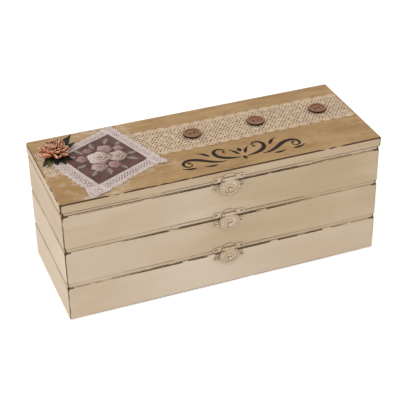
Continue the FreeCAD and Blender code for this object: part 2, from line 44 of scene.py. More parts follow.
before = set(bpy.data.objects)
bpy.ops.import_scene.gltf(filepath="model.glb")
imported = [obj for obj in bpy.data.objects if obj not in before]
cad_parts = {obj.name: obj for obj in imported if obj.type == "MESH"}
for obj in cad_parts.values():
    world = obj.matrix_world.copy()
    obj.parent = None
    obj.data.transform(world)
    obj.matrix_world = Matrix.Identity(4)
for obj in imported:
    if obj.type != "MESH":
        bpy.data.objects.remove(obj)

MM = 0.001
UP = Vector((0.0, 0.0, 1.0))
WHITE = (1.0, 1.0, 1.0)
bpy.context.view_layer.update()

SEAMS = ("middle", "top", "lid")
BODIES = {"bottom": "bottom_tray", "middle": "middle_tray", "top": "top_tray", "lid": "lid"}


def box_of(node):
    """The lowest and highest corner of a CAD node, in millimetres."""
    return [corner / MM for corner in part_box(node)]


def corners_of(node):
    """The front, right, back and left corner of a flat four-sided CAD node, in millimetres."""
    spots = [vertex.co.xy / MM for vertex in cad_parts[node].data.vertices]
    return [min(spots, key=lambda spot: spot.y), max(spots, key=lambda spot: spot.x),
            max(spots, key=lambda spot: spot.y), min(spots, key=lambda spot: spot.x)]


LID_LOW, LID_HIGH = box_of("lid_board")
LID_TOP = LID_HIGH.z
BAND_LOW, BAND_HIGH = box_of("lace_band")
BAND_MIDDLE, BAND_HALF = (BAND_LOW + BAND_HIGH) / 2, (BAND_HIGH - BAND_LOW) / 2
FLOWER_LOW, FLOWER_HIGH = box_of("paper_flower")
FLOWER_MIDDLE = (FLOWER_LOW + FLOWER_HIGH) / 2
STRIP_CORNERS = corners_of("lace_frame")
PRINT_CORNERS = corners_of("print_card")
PRINT_MIDDLE = sum(PRINT_CORNERS, Vector((0.0, 0.0))) / 4
PRINT_TOP = box_of("print_card")[1].z


def shade(*levels):
    """A display colour of 0 to 255 as the linear colour that Blender's sockets hold."""
    return tuple(level / 255 / 12.92 if level / 255 <= 0.04045 else ((level / 255 + 0.055) / 1.055) ** 2.4
                 for level in levels)


# Settings ------------------------------------------------------------------------------------

def colour_setting(name, description, *levels):
    """A colour that the user may change, given as a display colour of 0 to 255."""
    return bpy.props.FloatVectorProperty(name=name, description=description, subtype="COLOR",
                                         size=3, min=0.0, max=1.0, default=shade(*levels))


def length_setting(name, description, millimetres):
    """A length that the user may change."""
    return bpy.props.FloatProperty(name=name, description=description, unit="LENGTH",
                                   default=millimetres * MM, precision=5)


def angle_setting(name, description, degrees):
    """An angle that the user may change."""
    return bpy.props.FloatProperty(name=name, description=description, subtype="ANGLE",
                                   default=math.radians(degrees), precision=5)


class KeepsakePaint(bpy.types.PropertyGroup):
    """Colours and wear of the painted boards."""
    cream: colour_setting("Cream", "Main colour of the painted boards", 202, 178, 150)
    pale: colour_setting("Pale cream", "Cream where the paint is thick", 217, 199, 177)
    thick: colour_setting("Thick cream", "Cream where the paint is thickest", 224, 208, 190)
    glaze: colour_setting("Glaze", "Antique glaze dragged over the cream", 182, 156, 116)
    # this dark colour shows the rubbed-through base coat, and also paints shade under the lace, in the
    # clasps' hollows and round the nail heads
    base_coat_and_shade: colour_setting("Base coat", "Dark coat that shows where edges are rubbed", 66, 40, 24)
    tan: colour_setting("Tan", "Main colour of the lid's top", 170, 134, 87)
    tan_light: colour_setting("Light tan", "Lighter clouds on the lid's top", 184, 150, 103)
    tan_deep: colour_setting("Deep tan", "Darker strokes on the lid's top", 148, 108, 62)
    scroll: colour_setting("Scroll", "Paint of the scrolls on the lid", 38, 22, 16)
    wear: length_setting("Wear", "Width of the widest rubbed edge", 0.98)


class KeepsakeTrim(bpy.types.PropertyGroup):
    """Sizes and colours of the lace, the print and the buttons."""
    band_yarn: colour_setting("Band yarn", "Cotton of the long lace band", 236, 208, 176)
    strip_yarn: colour_setting("Strip yarn", "Cotton of the strips round the print", 232, 213, 206)
    band_pitch: length_setting("Band mesh", "Length of one mesh of the band", 3.4)
    strip_pitch: length_setting("Strip mesh", "Length of one mesh of a strip", 3.4)
    band_scallop: length_setting("Band scallop", "Length of one scallop of the band", 11.4)
    strip_scallop: length_setting("Strip scallop", "Length of one scallop of a strip", 6.2)
    ground: colour_setting("Print ground", "Ground of the print", 78, 42, 32)
    blossom: colour_setting("Print blossom", "Palest tone of the printed blossoms", 222, 202, 187)
    foliage: colour_setting("Print foliage", "Printed leaves", 142, 130, 112)
    button_wood: colour_setting("Button wood", "Main colour of the turned buttons", 134, 95, 68)


class KeepsakeFlower(bpy.types.PropertyGroup):
    """Sizes and colours of the paper flower."""
    petal: colour_setting("Petal", "Middle of a petal", 217, 124, 82)
    petal_edge: colour_setting("Petal edge", "Pale edge of a petal", 250, 205, 172)
    petal_deep: colour_setting("Petal hollow", "Foot of a petal", 112, 48, 28)
    leaf: colour_setting("Leaf", "Green of the leaves", 84, 92, 44)
    leaf_dark: colour_setting("Dark leaf", "Darkest tone of the leaves", 27, 25, 17)
    thickness: length_setting("Thickness", "Thickness of the petals' paper", 0.35)


class KeepsakeStage(bpy.types.PropertyGroup):
    """Camera and lights."""
    azimuth: angle_setting("Azimuth", "Camera's turn round the box", -20.706)
    elevation: angle_setting("Elevation", "Camera's height over the floor", 32.627)
    roll: angle_setting("Roll", "Camera's roll", -0.926)
    distance: length_setting("Distance", "Camera's distance from the point it looks at", 1109.0)
    focal: bpy.props.FloatProperty(name="Focal length", description="Camera's lens", unit="CAMERA",
                                   default=107.03)
    daylight: bpy.props.FloatProperty(name="Daylight", description="Strength of the soft surround",
                                      default=0.62, min=0.0)
    key: bpy.props.FloatProperty(name="Key", description="Power of the main lamp", unit="POWER",
                                 default=15.0, min=0.0)


# Materials -----------------------------------------------------------------------------------

class Value:
    """A number that varies over a surface. Signs work on it as on a plain number."""

    def __init__(self, tree, socket):
        self.tree, self.socket = tree, socket

    def __add__(self, other):
        return self.tree.math("ADD", self, other)

    def __sub__(self, other):
        return self.tree.math("SUBTRACT", self, other)

    def __mul__(self, other):
        return self.tree.math("MULTIPLY", self, other)

    def __abs__(self):
        return self.tree.math("ABSOLUTE", self)


class Tree:
    """The nodes of a material or of the world while they are laid."""

    def __init__(self, holder):
        holder.use_nodes = True
        self.nodes, self.links = holder.node_tree.nodes, holder.node_tree.links

    def add(self, kind, *values, named=None, **settings):
        """Lays a node, with values for its first sockets and named for others."""
        node = self.nodes.new("ShaderNode" + kind)
        for setting, value in settings.items():
            setattr(node, setting, value)
        for socket, value in zip(node.inputs, values):
            self.feed(socket, value)
        for key, value in (named or {}).items():
            self.feed(node.inputs[key], value)
        return node

    def feed(self, socket, value):
        """Gives a socket another socket's output, or a value of its own."""
        value = getattr(value, "socket", value)
        if isinstance(value, bpy.types.NodeSocket):
            self.links.new(value, socket)
        elif socket.type == "RGBA":
            socket.default_value = (*value, 1.0)
        else:
            socket.default_value = value

    def math(self, operation, *values):
        """The result of a Math node."""
        return Value(self, self.add("Math", *values, operation=operation).outputs[0])

    def seen_directly(self):
        """1 on rays from the camera, a mirror or glass, and 0 on the rest."""
        camera, *others = (self.add("LightPath").outputs["Is %s Ray" % kind]
                           for kind in ("Camera", "Glossy", "Transmission"))
        seen = Value(self, camera)
        for other in others:
            seen = self.math("MAXIMUM", seen, other)
        return seen


class Finish(Tree):
    """One material while it is laid. Places are in millimetres of the box's own frame."""

    def __init__(self, name, roughness=0.5, metallic=0.0, specular=0.4):
        self.material = bpy.data.materials.new(name)
        super().__init__(self.material)
        self.shader = self.nodes["Principled BSDF"].inputs
        for socket, value in (("Roughness", roughness), ("Metallic", metallic),
                              ("Specular IOR Level", specular)):
            self.shader[socket].default_value = value
        self.place = self.vector("SCALE", self.add("TexCoord").outputs["Object"], Scale=1 / MM)

    def vector(self, operation, *values, **named):
        """The vector result of a Vector Math node."""
        return self.add("VectorMath", *values, named=named, operation=operation).outputs["Vector"]

    def number(self, operation, *vectors):
        """The number result of a Vector Math node."""
        return Value(self, self.add("VectorMath", *vectors, operation=operation).outputs["Value"])

    def away(self, middle):
        """The distances from middle along each axis."""
        return self.vector("ABSOLUTE", self.vector("SUBTRACT", self.place, middle))

    def turned(self, vector, angle):
        """A vector turned about the upright axis."""
        node = self.add("VectorRotate", vector, named={"Angle": angle}, rotation_type="Z_AXIS")
        return node.outputs["Vector"]

    def axes(self, vector):
        """The three parts of a vector."""
        return [Value(self, part) for part in self.add("SeparateXYZ", vector).outputs]

    def marks(self):
        """The three parts of the marks that a mesh of this script carries."""
        return self.axes(self.add("Attribute", attribute_name="mark").outputs["Vector"])

    def facing(self):
        """How squarely the surface looks along each axis, either way."""
        return self.axes(self.vector("ABSOLUTE", self.add("TexCoord").outputs["Normal"]))

    def noise(self, cells, detail=3.0, roughness=0.5, seed=0.0, place=None):
        """Noise of 0 to 1, with cells to the millimetre, along each axis if there are three."""
        cells = cells if isinstance(cells, tuple) else (cells,) * 3
        spot = self.vector("MULTIPLY_ADD", place or self.place, cells, (seed, seed * 1.7, seed * 0.6))
        named = {"Scale": 1.0, "Detail": detail, "Roughness": roughness}
        return Value(self, self.add("TexNoise", spot, named=named).outputs["Fac"])

    def crevices(self, reach, share=1.0, clear=0.85):
        """share in the narrow places within reach, in millimetres, of another surface, and 0 where
        at least clear of the view is open."""
        node = self.add("AmbientOcclusion", named={"Distance": reach * MM}, samples=16)
        return self.step(node.outputs["AO"], clear - 0.5, clear, share, 0.0)

    def step(self, value, low, high, start=0.0, end=1.0):
        """start where value is under low, end where it is over high, and smooth between."""
        node = self.add("MapRange", value, low, high, start, end, interpolation_type="SMOOTHSTEP")
        return Value(self, node.outputs["Result"])

    def blend(self, colour, *coats):
        """Lays coats over a colour. Each is a tint and its share, or a tint, a value and what step
        makes of it."""
        for tint, share, *levels in coats:
            share = self.step(share, *levels) if levels else share
            node = self.add("Mix", share, data_type="RGBA")
            self.feed(node.inputs[6], colour)
            self.feed(node.inputs[7], tint)
            colour = node.outputs[2]
        return colour

    def bump(self, height, depth, strength=1.0):
        """Raises the surface by height times depth, in millimetres."""
        last = self.shader["Normal"]
        named = {"Strength": strength, "Distance": depth * MM, "Height": height}
        node = self.add("Bump", named=named)
        if last.is_linked:
            self.links.new(last.links[0].from_socket, node.inputs["Normal"])
        self.links.new(node.outputs["Normal"], last)

    def paint(self, colour, roughness=None):
        """Joins the colour, and the roughness if nodes give it, to the shader."""
        self.feed(self.shader["Base Color"], colour)
        if roughness is not None:
            self.feed(self.shader["Roughness"], roughness)
        return self.material

    def edge_distances(self, low, high, rounded):
        """Distances from the nearest edge and the nearest corner of a block, less rounded at its
        upright edges."""
        inside = self.vector("SUBTRACT", (high - low) / 2, self.away((low + high) / 2))
        across, deep, tall = self.axes(inside)
        farther = self.math("MAXIMUM", across, deep)
        upright = self.math("MINIMUM", farther - rounded, tall)
        edge = self.math("MAXIMUM", self.math("MINIMUM", across, deep), upright)
        return edge, self.math("MAXIMUM", farther, tall)


def brush_places(finish, end_board=False):
    """Places with the brush's way first: along X, but along Y on a face that looks to an end."""
    across, deep, tall = finish.axes(finish.place)
    to_end, to_front, _ = finish.facing()
    turned = finish.step(to_front, 0.6, 0.8, 1.0, 0.0) if end_board else finish.step(to_end, 0.6, 0.8)
    shift = (deep - across) * turned
    return finish.add("CombineXYZ", across + shift, deep - shift, tall).outputs[0]


def dragged(finish, brush, length, width, detail, roughness, seed):
    """Noise drawn out along the brush, its cells length and width millimetres."""
    return finish.noise((1 / length, 1 / width, 1 / width), detail, roughness, seed, brush)


def brushed_cream(finish, paint, brush, seed):
    """Cream paint dragged along the brush's way, with glaze left in the strokes."""
    strokes = dragged(finish, brush, 55, 0.9, 4, 0.62, seed + 13)
    colour = finish.blend(
        paint.cream,
        (paint.pale, dragged(finish, brush, 120, 15, 3, 0.5, seed), 0.38, 0.68, 0, 0.5),
        (paint.glaze, dragged(finish, brush, 70, 34, 2, 0.5, seed + 7), 0.42, 0.7, 0, 0.4),
        (paint.glaze, strokes, 0.44, 0.72, 0, 0.26))
    finish.bump(strokes, 0.05, 0.6)
    return colour, strokes


def rubbed_edges(finish, paint, colour, block, rounded, brush, seed, share=1.0):
    """Glaze gathered along the edges of a block, and the base coat where they are rubbed through."""
    edge, corner = finish.edge_distances(*block, rounded)
    uneven = finish.step(dragged(finish, brush, 26, 9, 2, 0.6, seed + 21), 0.35, 0.45, 0.35, 1.0)
    crumbs = finish.step(finish.noise(0.7, 3, 0.7, seed + 31), 0.3, 0.6, 0.82, 1.05)
    chipped = finish.step(corner, 1.2, 3.5, 0.5, 0.0)
    width = (uneven * share + chipped) * crumbs * (paint.wear / MM)
    bare = finish.step(edge, width * 0.75, width, 0.97, 0.0)
    finish.bump(bare, -0.1)
    return finish.blend(colour, (paint.glaze, edge, 0.0, width * 1.5 + 0.6, 0.5, 0.0),
                        (paint.base_coat_and_shade, bare))


ROUNDED = 0.22


def painted_board(node, paint, coat, spare_low, spare_high):
    """The finish of one cream board, rubbed along the edges of its own block. A face with some
    millimetres to spare keeps its paint, because another board covers it. coat holds the share of
    pale paint overall, then where along the box it is thickest and where the glaze is: middle,
    reach and share. Its last four say where the edges are rubbed most, how far from there the
    rubbing starts to fade and is faint, and the share that is left there."""
    finish = Finish("paint_" + node, specular=0.2)
    seed = random.Random(node.split("_")[0]).uniform(0, 400)
    end_board = node.endswith("_end")
    brush = brush_places(finish, end_board)
    low, high = box_of(node)
    overall, thick, glazed, (most, full, faded, least) = coat
    colour, strokes = brushed_cream(finish, paint, brush, seed)
    across = finish.axes(finish.place)[0]
    patches = [(tint, abs(across - middle), 0.0, reach, share, 0.0)
               for tint, (middle, reach, share) in ((paint.thick, thick), (paint.glaze, glazed))]
    colour = finish.blend(colour, (paint.pale, overall), *patches)
    if end_board:
        share = finish.step(finish.facing()[1], 0.2, 0.7, 0.6, 1.0)
    else:
        share = finish.step(abs(across - most), full, faded, 1.0, least)
    block = low - Vector(spare_low), high + Vector(spare_high)
    colour = rubbed_edges(finish, paint, colour, block, ROUNDED, brush, seed, share)
    return finish.paint(colour, finish.step(strokes, 0.3, 0.7, 0.42, 0.6))


def give(node, material):
    """Gives a CAD node its material."""
    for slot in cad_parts[node].material_slots:
        slot.material = material


# Meshes --------------------------------------------------------------------------------------

def put_in_scene(name, data):
    """A new object that holds data."""
    made = bpy.data.objects.new(name, data)
    bpy.context.scene.collection.objects.link(made)
    return made


class Form:
    """Corners, faces and marks of a mesh while it is made, in millimetres."""

    def __init__(self):
        self.points, self.faces, self.marks = [], [], []

    def ring(self, places, marks=None):
        """Adds a row of corners and gives back the number of its first."""
        first = len(self.points)
        self.points += [Vector(place) * MM for place in places]
        self.marks += marks or [(0.0, 0.0, 0.0)] * len(places)
        return first

    def join(self, first, second, count, closed=True):
        """Faces between two rows of corners."""
        for step in range(count if closed else count - 1):
            after = (step + 1) % count
            self.faces.append((first + step, first + after, second + after, second + step))

    def close(self, rings, count):
        """Faces between closed rows of corners, and over the two ends."""
        for first, second in zip(rings, rings[1:]):
            self.join(first, second, count)
        self.faces.append(tuple(reversed(range(rings[0], rings[0] + count))))
        self.faces.append(tuple(range(rings[-1], rings[-1] + count)))

    def shape(self, name):
        """An object of the mesh as it stands."""
        mesh = bpy.data.meshes.new(name)
        mesh.from_pydata(self.points, [], self.faces)
        return put_in_scene(name, mesh)

    def build(self, name, material, body="lid", slot="lace"):
        """Makes the piece, which rides on a body and takes the given material. The slot is not used."""
        piece = self.shape(name)
        marks = piece.data.attributes.new("mark", "FLOAT_VECTOR", "POINT")
        marks.data.foreach_set("vector", [part for mark in self.marks for part in mark])
        piece.data.materials.append(material)
        piece.data.shade_smooth()
        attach(piece, body)
        return piece


# Paint on the boards -------------------------------------------------------------------------

class PaintTrays(bpy.types.Operator):
    """Paints the boards of the three trays"""
    bl_idname = "keepsake.paint_trays"
    bl_label = "Paint Trays"

    # the coat of each tray, as painted_board reads it
    COATS = {"bottom": (0.48, (-25, 90, 0.65), (120, 60, 0.0), (10, 80, 115, 0.68)),
             "middle": (0.15, (-130, 110, 0.42), (70, 120, 0.34), (-15, 50, 115, 0.46)),
             "top": (0.12, (-40, 80, 0.36), (85, 110, 0.45), (15, 45, 90, 0.64))}

    # millimetres to spare at the low and at the high faces of each board
    BOARDS = {"_front": ((4, 0, -0.3), (4, 0, 0)), "_back": ((4, 0, -0.3), (4, 0, 0)),
              "_left_end": ((0, 0, 0.15), (4, 0, 0)), "_right_end": ((4, 0, 0.15), (0, 0, 0)),
              "_base": ((0, 0, 0.1), (0, 0, 0.8))}

    def execute(self, context):
        paint = context.scene.keepsake_paint
        for tray, coat in self.COATS.items():
            for board, spare in self.BOARDS.items():
                give(tray + board, painted_board(tray + board, paint, coat, *spare))
        return {"FINISHED"}


class PaintLid(bpy.types.Operator):
    """Paints the lid: cream round its edge, and tan on its top"""
    bl_idname = "keepsake.paint_lid"
    bl_label = "Paint Lid"

    LINER_COAT = (0.4, (0, 100, 0.0), (0, 100, 0.0), (0, 100, 200, 1.0))
    LINER_SPARE = ((0, 0, 0.1), (0, 0, 0.8))
    # the block that the rubbed edges are measured from, a little off the board's own
    BLOCK = (LID_LOW - Vector((0.2, 0.0, -0.2)), LID_HIGH - UP * 0.35)
    BLOCK_ROUNDED = 0.6
    SEED = 11.0
    # darkness of the painted shade under the lace
    LACE_SHADE = 0.62
    WHITEWASH = 0.65

    def execute(self, context):
        paint = context.scene.keepsake_paint
        give("lid_board", self.lid_top(paint))
        give("lid_liner", painted_board("lid_liner", paint, self.LINER_COAT, *self.LINER_SPARE))
        return {"FINISHED"}

    def lid_top(self, paint):
        """Cloudy tan on the top face, cream on the sides, and rubbed edges."""
        finish = Finish("paint_lid_board", specular=0.2)
        brush = brush_places(finish)
        fine = dragged(finish, brush, 40, 1.0, 4, 0.6, self.SEED + 5)
        cream = finish.blend(brushed_cream(finish, paint, brush, self.SEED)[0], (paint.glaze, 0.2))
        tan = finish.blend(
            paint.tan,
            (paint.tan_light, dragged(finish, brush, 46, 13, 4, 0.6, self.SEED + 3), 0.36, 0.64),
            (paint.tan_deep, dragged(finish, brush, 20, 8, 5, 0.66, self.SEED + 41), 0.46, 0.7, 0, 0.6),
            (paint.tan_deep, fine, 0.42, 0.72, 0, 0.3),
            (paint.pale, self.whitewash(finish)),
            # the last coat is painted shade under the lace, in the dark base coat's colour
            (paint.base_coat_and_shade, self.shade_under_lace(finish)))
        height = finish.axes(finish.place)[2]
        colour = finish.blend(cream, (tan, height, LID_TOP - 0.7, LID_TOP - 0.3))
        colour = rubbed_edges(finish, paint, colour, self.BLOCK, self.BLOCK_ROUNDED, brush, self.SEED)
        return finish.paint(colour, finish.step(fine, 0.3, 0.7, 0.36, 0.52))

    def shade_under_lace(self, finish):
        """Painted shade on the wood under the band and the strips."""
        along, off, _ = finish.axes(finish.away(BAND_MIDDLE))
        band = (finish.step(along, BAND_HALF.x - 4.6, BAND_HALF.x - 3.2, 1, 0)
                * finish.step(off, BAND_HALF.y - 2.4, BAND_HALF.y - 1.2, 1, 0))
        strips = finish.step(self.beyond_strips(finish), -2.6, -1.4, 1, 0)
        return finish.math("MAXIMUM", band, strips) * self.LACE_SHADE

    def beyond_strips(self, finish):
        """How far a place lies outside the frame of strips, and less than nothing inside it."""
        farthest = -1e3
        for first, second in zip(STRIP_CORNERS, STRIP_CORNERS[1:] + STRIP_CORNERS[:1]):
            heading = (second - first).normalized()
            offset = finish.vector("SUBTRACT", finish.place, first.to_3d())
            out = finish.number("DOT_PRODUCT", offset, (heading.y, -heading.x, 0.0))
            farthest = finish.math("MAXIMUM", farthest, out)
        return farthest

    def whitewash(self, finish):
        """Patches of thin white paint round the print."""
        near = finish.step(self.beyond_strips(finish), 4, 20, 1, 0)
        patches = finish.step(finish.noise((0.07, 0.12, 0.1), 4, 0.65, 3), 0.46, 0.66)
        return near * patches * self.WHITEWASH


# Lace ----------------------------------------------------------------------------------------

THREAD_SIDES = 6
# height of the threads over the lid
THREAD_UP = 0.3


def lay_thread(form, path, wide, thick):
    """Adds a flattened thread that follows path, with its seam underneath."""
    rings, travelled = [], 0.0
    for number, place in enumerate(path):
        before, after = path[max(number - 1, 0)], path[min(number + 1, len(path) - 1)]
        heading = Vector((after[0] - before[0], after[1] - before[1], 0.0)).normalized()
        side = Vector((-heading.y, heading.x, 0.0))
        travelled += (Vector(place) - Vector(path[max(number - 1, 0)])).length
        turns = [math.tau * corner / THREAD_SIDES - math.pi / 2 for corner in range(THREAD_SIDES)]
        places = [Vector(place) + side * (math.cos(turn) * wide / 2) + UP * (math.sin(turn) * thick / 2)
                  for turn in turns]
        marks = [(travelled, corner / THREAD_SIDES, 0.0) for corner in range(THREAD_SIDES)]
        rings.append(form.ring(places, marks))
    form.close(rings[::-1], THREAD_SIDES)


def yarn_finish(name, colour):
    """Twisted cotton: strands wind round each thread, with painted shade between them, darker fuzz and
    patches of dirt.
    """
    finish = Finish(name, roughness=0.9, specular=0.15)
    travelled, around, _ = finish.marks()
    strand = finish.math("SINE", (finish.math("DIVIDE", travelled, 0.9) + around) * math.tau)
    fuzz = finish.noise(2.2, 3, 0.6, 5)
    worn = finish.noise((0.05, 0.08, 0.1), 2, 0.5, 9)
    dark = tuple(part * 0.62 for part in colour)
    # dark along strand is painted shade between the strands; along fuzz it is darker fuzz
    dyed = finish.blend(colour, (dark, strand, -1.0, 0.4, 0.45, 0.0), (dark, fuzz, 0.55, 0.8, 0.0, 0.35),
                        (shade(186, 160, 138), worn, 0.45, 0.75, 0.0, 0.3))
    finish.bump(strand, 0.06)
    finish.bump(fuzz, 0.04)
    finish.shader["Sheen Weight"].default_value = 0.15
    return finish.paint(dyed)


class Lace:
    """The threads of one lace, laid by a place function: along, across and height to a place."""

    # shares of the thread's thickness by which crossing threads part, and of its width
    CROSSING = 0.35
    DARN_GAP = 0.95
    DARN_WIDE = 0.8
    FAN_WIDE = 0.85
    # shares of the scallop's reach at which its rays bend, its inner arc runs and its picots start
    RAY = (0.15, 0.55, 0.95)
    ARC = 0.56
    PICOT = 0.92

    def __init__(self, place, length, low, high, cell, thread):
        self.form, self.place, self.length = Form(), place, length
        self.low, self.high, self.cell = low, high, cell
        self.wide, self.thick = thread
        self.mesh()
        for across in (low, high):
            self.straight(across)

    def lay(self, spots, wide, thick=None):
        """Lays a thread through (along, across, height) spots that lie within the length."""
        kept = [self.place(*spot) for spot in spots if -0.01 <= spot[0] <= self.length + 0.01]
        if len(kept) > 1:
            lay_thread(self.form, kept, wide, thick or self.thick)

    def straight(self, across):
        """One thread along the whole lace."""
        steps = round(self.length / self.cell[0])
        self.lay([(self.length * step / steps, across, 0.0) for step in range(steps + 1)], self.wide)

    def mesh(self):
        """Two families of slanting threads that pass over and under each other."""
        pitch, tall = self.cell
        rows = round((self.high - self.low) / (tall / 2))
        rise = (self.high - self.low) / rows
        for lean in (1, -1):
            for number in range(-rows, round(self.length / pitch) + rows):
                spots = [(number * pitch + lean * row * pitch / 2, self.low + row * rise,
                          lean * (-1) ** row * self.thick * self.CROSSING) for row in range(rows + 1)]
                self.lay(spots, self.wide)

    def cloth_diamond(self, along, across, half):
        """A diamond of closer threads worked into the mesh."""
        gap = self.wide * self.DARN_GAP
        for row in range(-int(half / gap), int(half / gap) + 1):
            reach = half - abs(row * gap)
            if reach > gap:
                self.lay([(along - reach, across + row * gap, 0.0), (along, across + row * gap, 0.1),
                          (along + reach, across + row * gap, 0.0)], self.wide * self.DARN_WIDE)

    def fan(self, along, foot, half, tall, rays):
        """One scallop: rays from its middle, an inner arc and an outer edge of small picots."""

        def spot(turn, reach, height=0.0):
            out, up = math.cos(turn) * half, math.sin(turn) ** 0.8 * tall
            return along + out * reach, foot + up * reach, height

        for ray in range(1, rays):
            turn = math.pi * ray / rays
            self.lay([spot(turn, reach) for reach in self.RAY], self.wide * self.FAN_WIDE)
        turns = [math.pi * step / (rays * 2) for step in range(rays * 2 + 1)]
        self.lay([spot(turn, self.ARC, 0.08) for turn in turns], self.wide * self.FAN_WIDE)
        picots = [spot(turn, self.PICOT + (1 - self.PICOT) * (step % 2), 0.04)
                  for step, turn in enumerate(turns)]
        self.lay(picots, self.wide, self.thick * 1.2)


def over_band(spot):
    """Nothing on the bare lid and 1 over the band, with a soft step between."""
    inside = min(BAND_HIGH.y - spot.y, spot.y - BAND_LOW.y)
    return 0.5 + 0.5 * math.tanh(inside - 1.0)


def uneven(along, across, reach):
    """A small shift that every thread through one place shares."""
    return Vector((math.sin(along * 2.9 + across * 5.3), math.sin(along * 4.1 - across * 3.7))) * reach


class LaceBand(bpy.types.Operator):
    """Makes the wide lace band that runs along the lid"""
    bl_idname = "keepsake.lace_band"
    bl_label = "Lace Band"

    THREAD = (1.2, 0.42)
    MESH_TALL = 4.5
    # shift along in scallops, place across in halves of the mesh, and half length in scallops
    DIAMONDS = ((0.0, 0.62, 0.23), (0.5, 0.24, 0.2))
    DARNS = 260
    DARN_SIZES = (1.4, 2.2)
    FAN_TALL = 4.2
    FAN_RAYS = 6
    SPARE = 0.6

    def execute(self, context):
        trim = context.scene.keepsake_trim
        start, end = BAND_LOW.x + self.SPARE, BAND_HIGH.x - self.SPARE
        middle = (BAND_LOW.y + BAND_HIGH.y) / 2
        half = (BAND_HIGH.y - BAND_LOW.y) / 2 - self.FAN_TALL

        def place(along, across, height):
            sway = 0.45 * math.sin(along / 31) + 0.2 * math.sin(along / 8.3 + 1)
            lift = 0.05 * math.sin(along / 17 + across / 9)
            spot = Vector((start + along, middle + across + sway)) + uneven(along, across, 0.3)
            return spot.to_3d() + UP * (LID_TOP + THREAD_UP + height + lift)

        cell = (trim.band_pitch / MM, self.MESH_TALL)
        lace = Lace(place, end - start, -half, half, cell, self.THREAD)
        scallop = trim.band_scallop / MM
        for number in range(math.ceil((end - start) / scallop) + 1):
            along = (number + 0.5) * scallop
            for side in (-1, 1):
                lace.fan(along, side * half, scallop / 2, side * self.FAN_TALL, self.FAN_RAYS)
                for shift, across, size in self.DIAMONDS:
                    lace.cloth_diamond(along + scallop * shift, side * half * across, scallop * size)
        pick = random.Random(3)
        for _ in range(self.DARNS):
            lace.cloth_diamond(pick.uniform(0, end - start), pick.uniform(-half, half),
                               pick.uniform(*self.DARN_SIZES))
        piece = lace.form.build("lace_band_cotton", yarn_finish("band_cotton", trim.band_yarn))
        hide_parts("lace_band")
        return {"FINISHED"}


class LaceStrips(bpy.types.Operator):
    """Makes the four lace strips round the print"""
    bl_idname = "keepsake.lace_strips"
    bl_label = "Lace Strips"

    THREAD = (1.1, 0.42)
    # across each strip: its whole width, what is tucked under the card, the tape and the scallops
    WIDE = 12.0
    TUCKED = 2.0
    TAPE = 2.3
    TAPE_THREADS = 4
    INSET = 0.5
    RAISED = 0.5
    FAN_TALL = 3.2
    FAN_RAYS = 5
    OVERLAP = 10.5
    TAIL = 6.0

    def execute(self, context):
        trim = context.scene.keepsake_trim
        material = yarn_finish("strip_cotton", trim.strip_yarn)
        for number in range(4):
            self.strip(number, trim, material)
        return {"FINISHED"}

    def strip(self, number, trim, material):
        """One strip along a side of the print. It runs out to the outer corners, where every
        second strip lies over its neighbours."""
        start, end = STRIP_CORNERS[number], STRIP_CORNERS[(number + 1) % 4]
        inner = PRINT_CORNERS[number]
        heading = (PRINT_CORNERS[(number + 1) % 4] - inner).normalized()
        outward = Vector((heading.y, -heading.x))
        length = (end - start).length
        raised = self.RAISED * (number % 2)
        tail = self.TAIL * (number < 2)

        def place(along, across, height):
            along -= tail * math.exp(-along / 5) * across / self.WIDE
            rim = start.lerp(end, along / length)
            wide = (rim - inner).dot(outward)
            sway = 0.3 * math.sin(along / 11 + number) + 0.15 * math.sin(along / 3.7 + number * 2)
            spot = rim + outward * (wide * (across / self.WIDE - 1) + sway) + uneven(along, across, 0.2)
            lift = 0.55 * over_band(spot) + 0.05 * math.sin(along / 5 + number)
            past = min(along, length - along) - self.OVERLAP
            lift += raised * math.exp(-max(past, 0.0))
            return spot.to_3d() + UP * (LID_TOP + THREAD_UP + height + lift)

        mesh_end = self.WIDE - self.FAN_TALL
        mesh_tall = (mesh_end - self.TAPE) / 2
        lace = Lace(place, length, self.TAPE, mesh_end, (trim.strip_pitch / MM, mesh_tall), self.THREAD)
        for row in range(self.TAPE_THREADS):
            reach = self.TAPE + self.TUCKED - self.INSET
            lace.straight(-self.TUCKED + self.INSET + reach * row / self.TAPE_THREADS)
        count = round(length / (trim.strip_scallop / MM))
        for fan in range(count):
            lace.fan((fan + 0.5) * length / count, mesh_end, length / count / 2,
                     self.FAN_TALL, self.FAN_RAYS)
        for along in (self.INSET, length - self.INSET):
            lace.lay([(along, across, 0.0) for across in (-self.TUCKED, 0.0, self.TAPE, mesh_end)],
                     lace.wide)
        piece = lace.form.build("lace_strip_%d" % (number + 1), material)
        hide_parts("lace_frame")
        wide = ((start + end) / 2 - inner).dot(outward) + self.TUCKED
        wide * MM


# Print ---------------------------------------------------------------------------------------

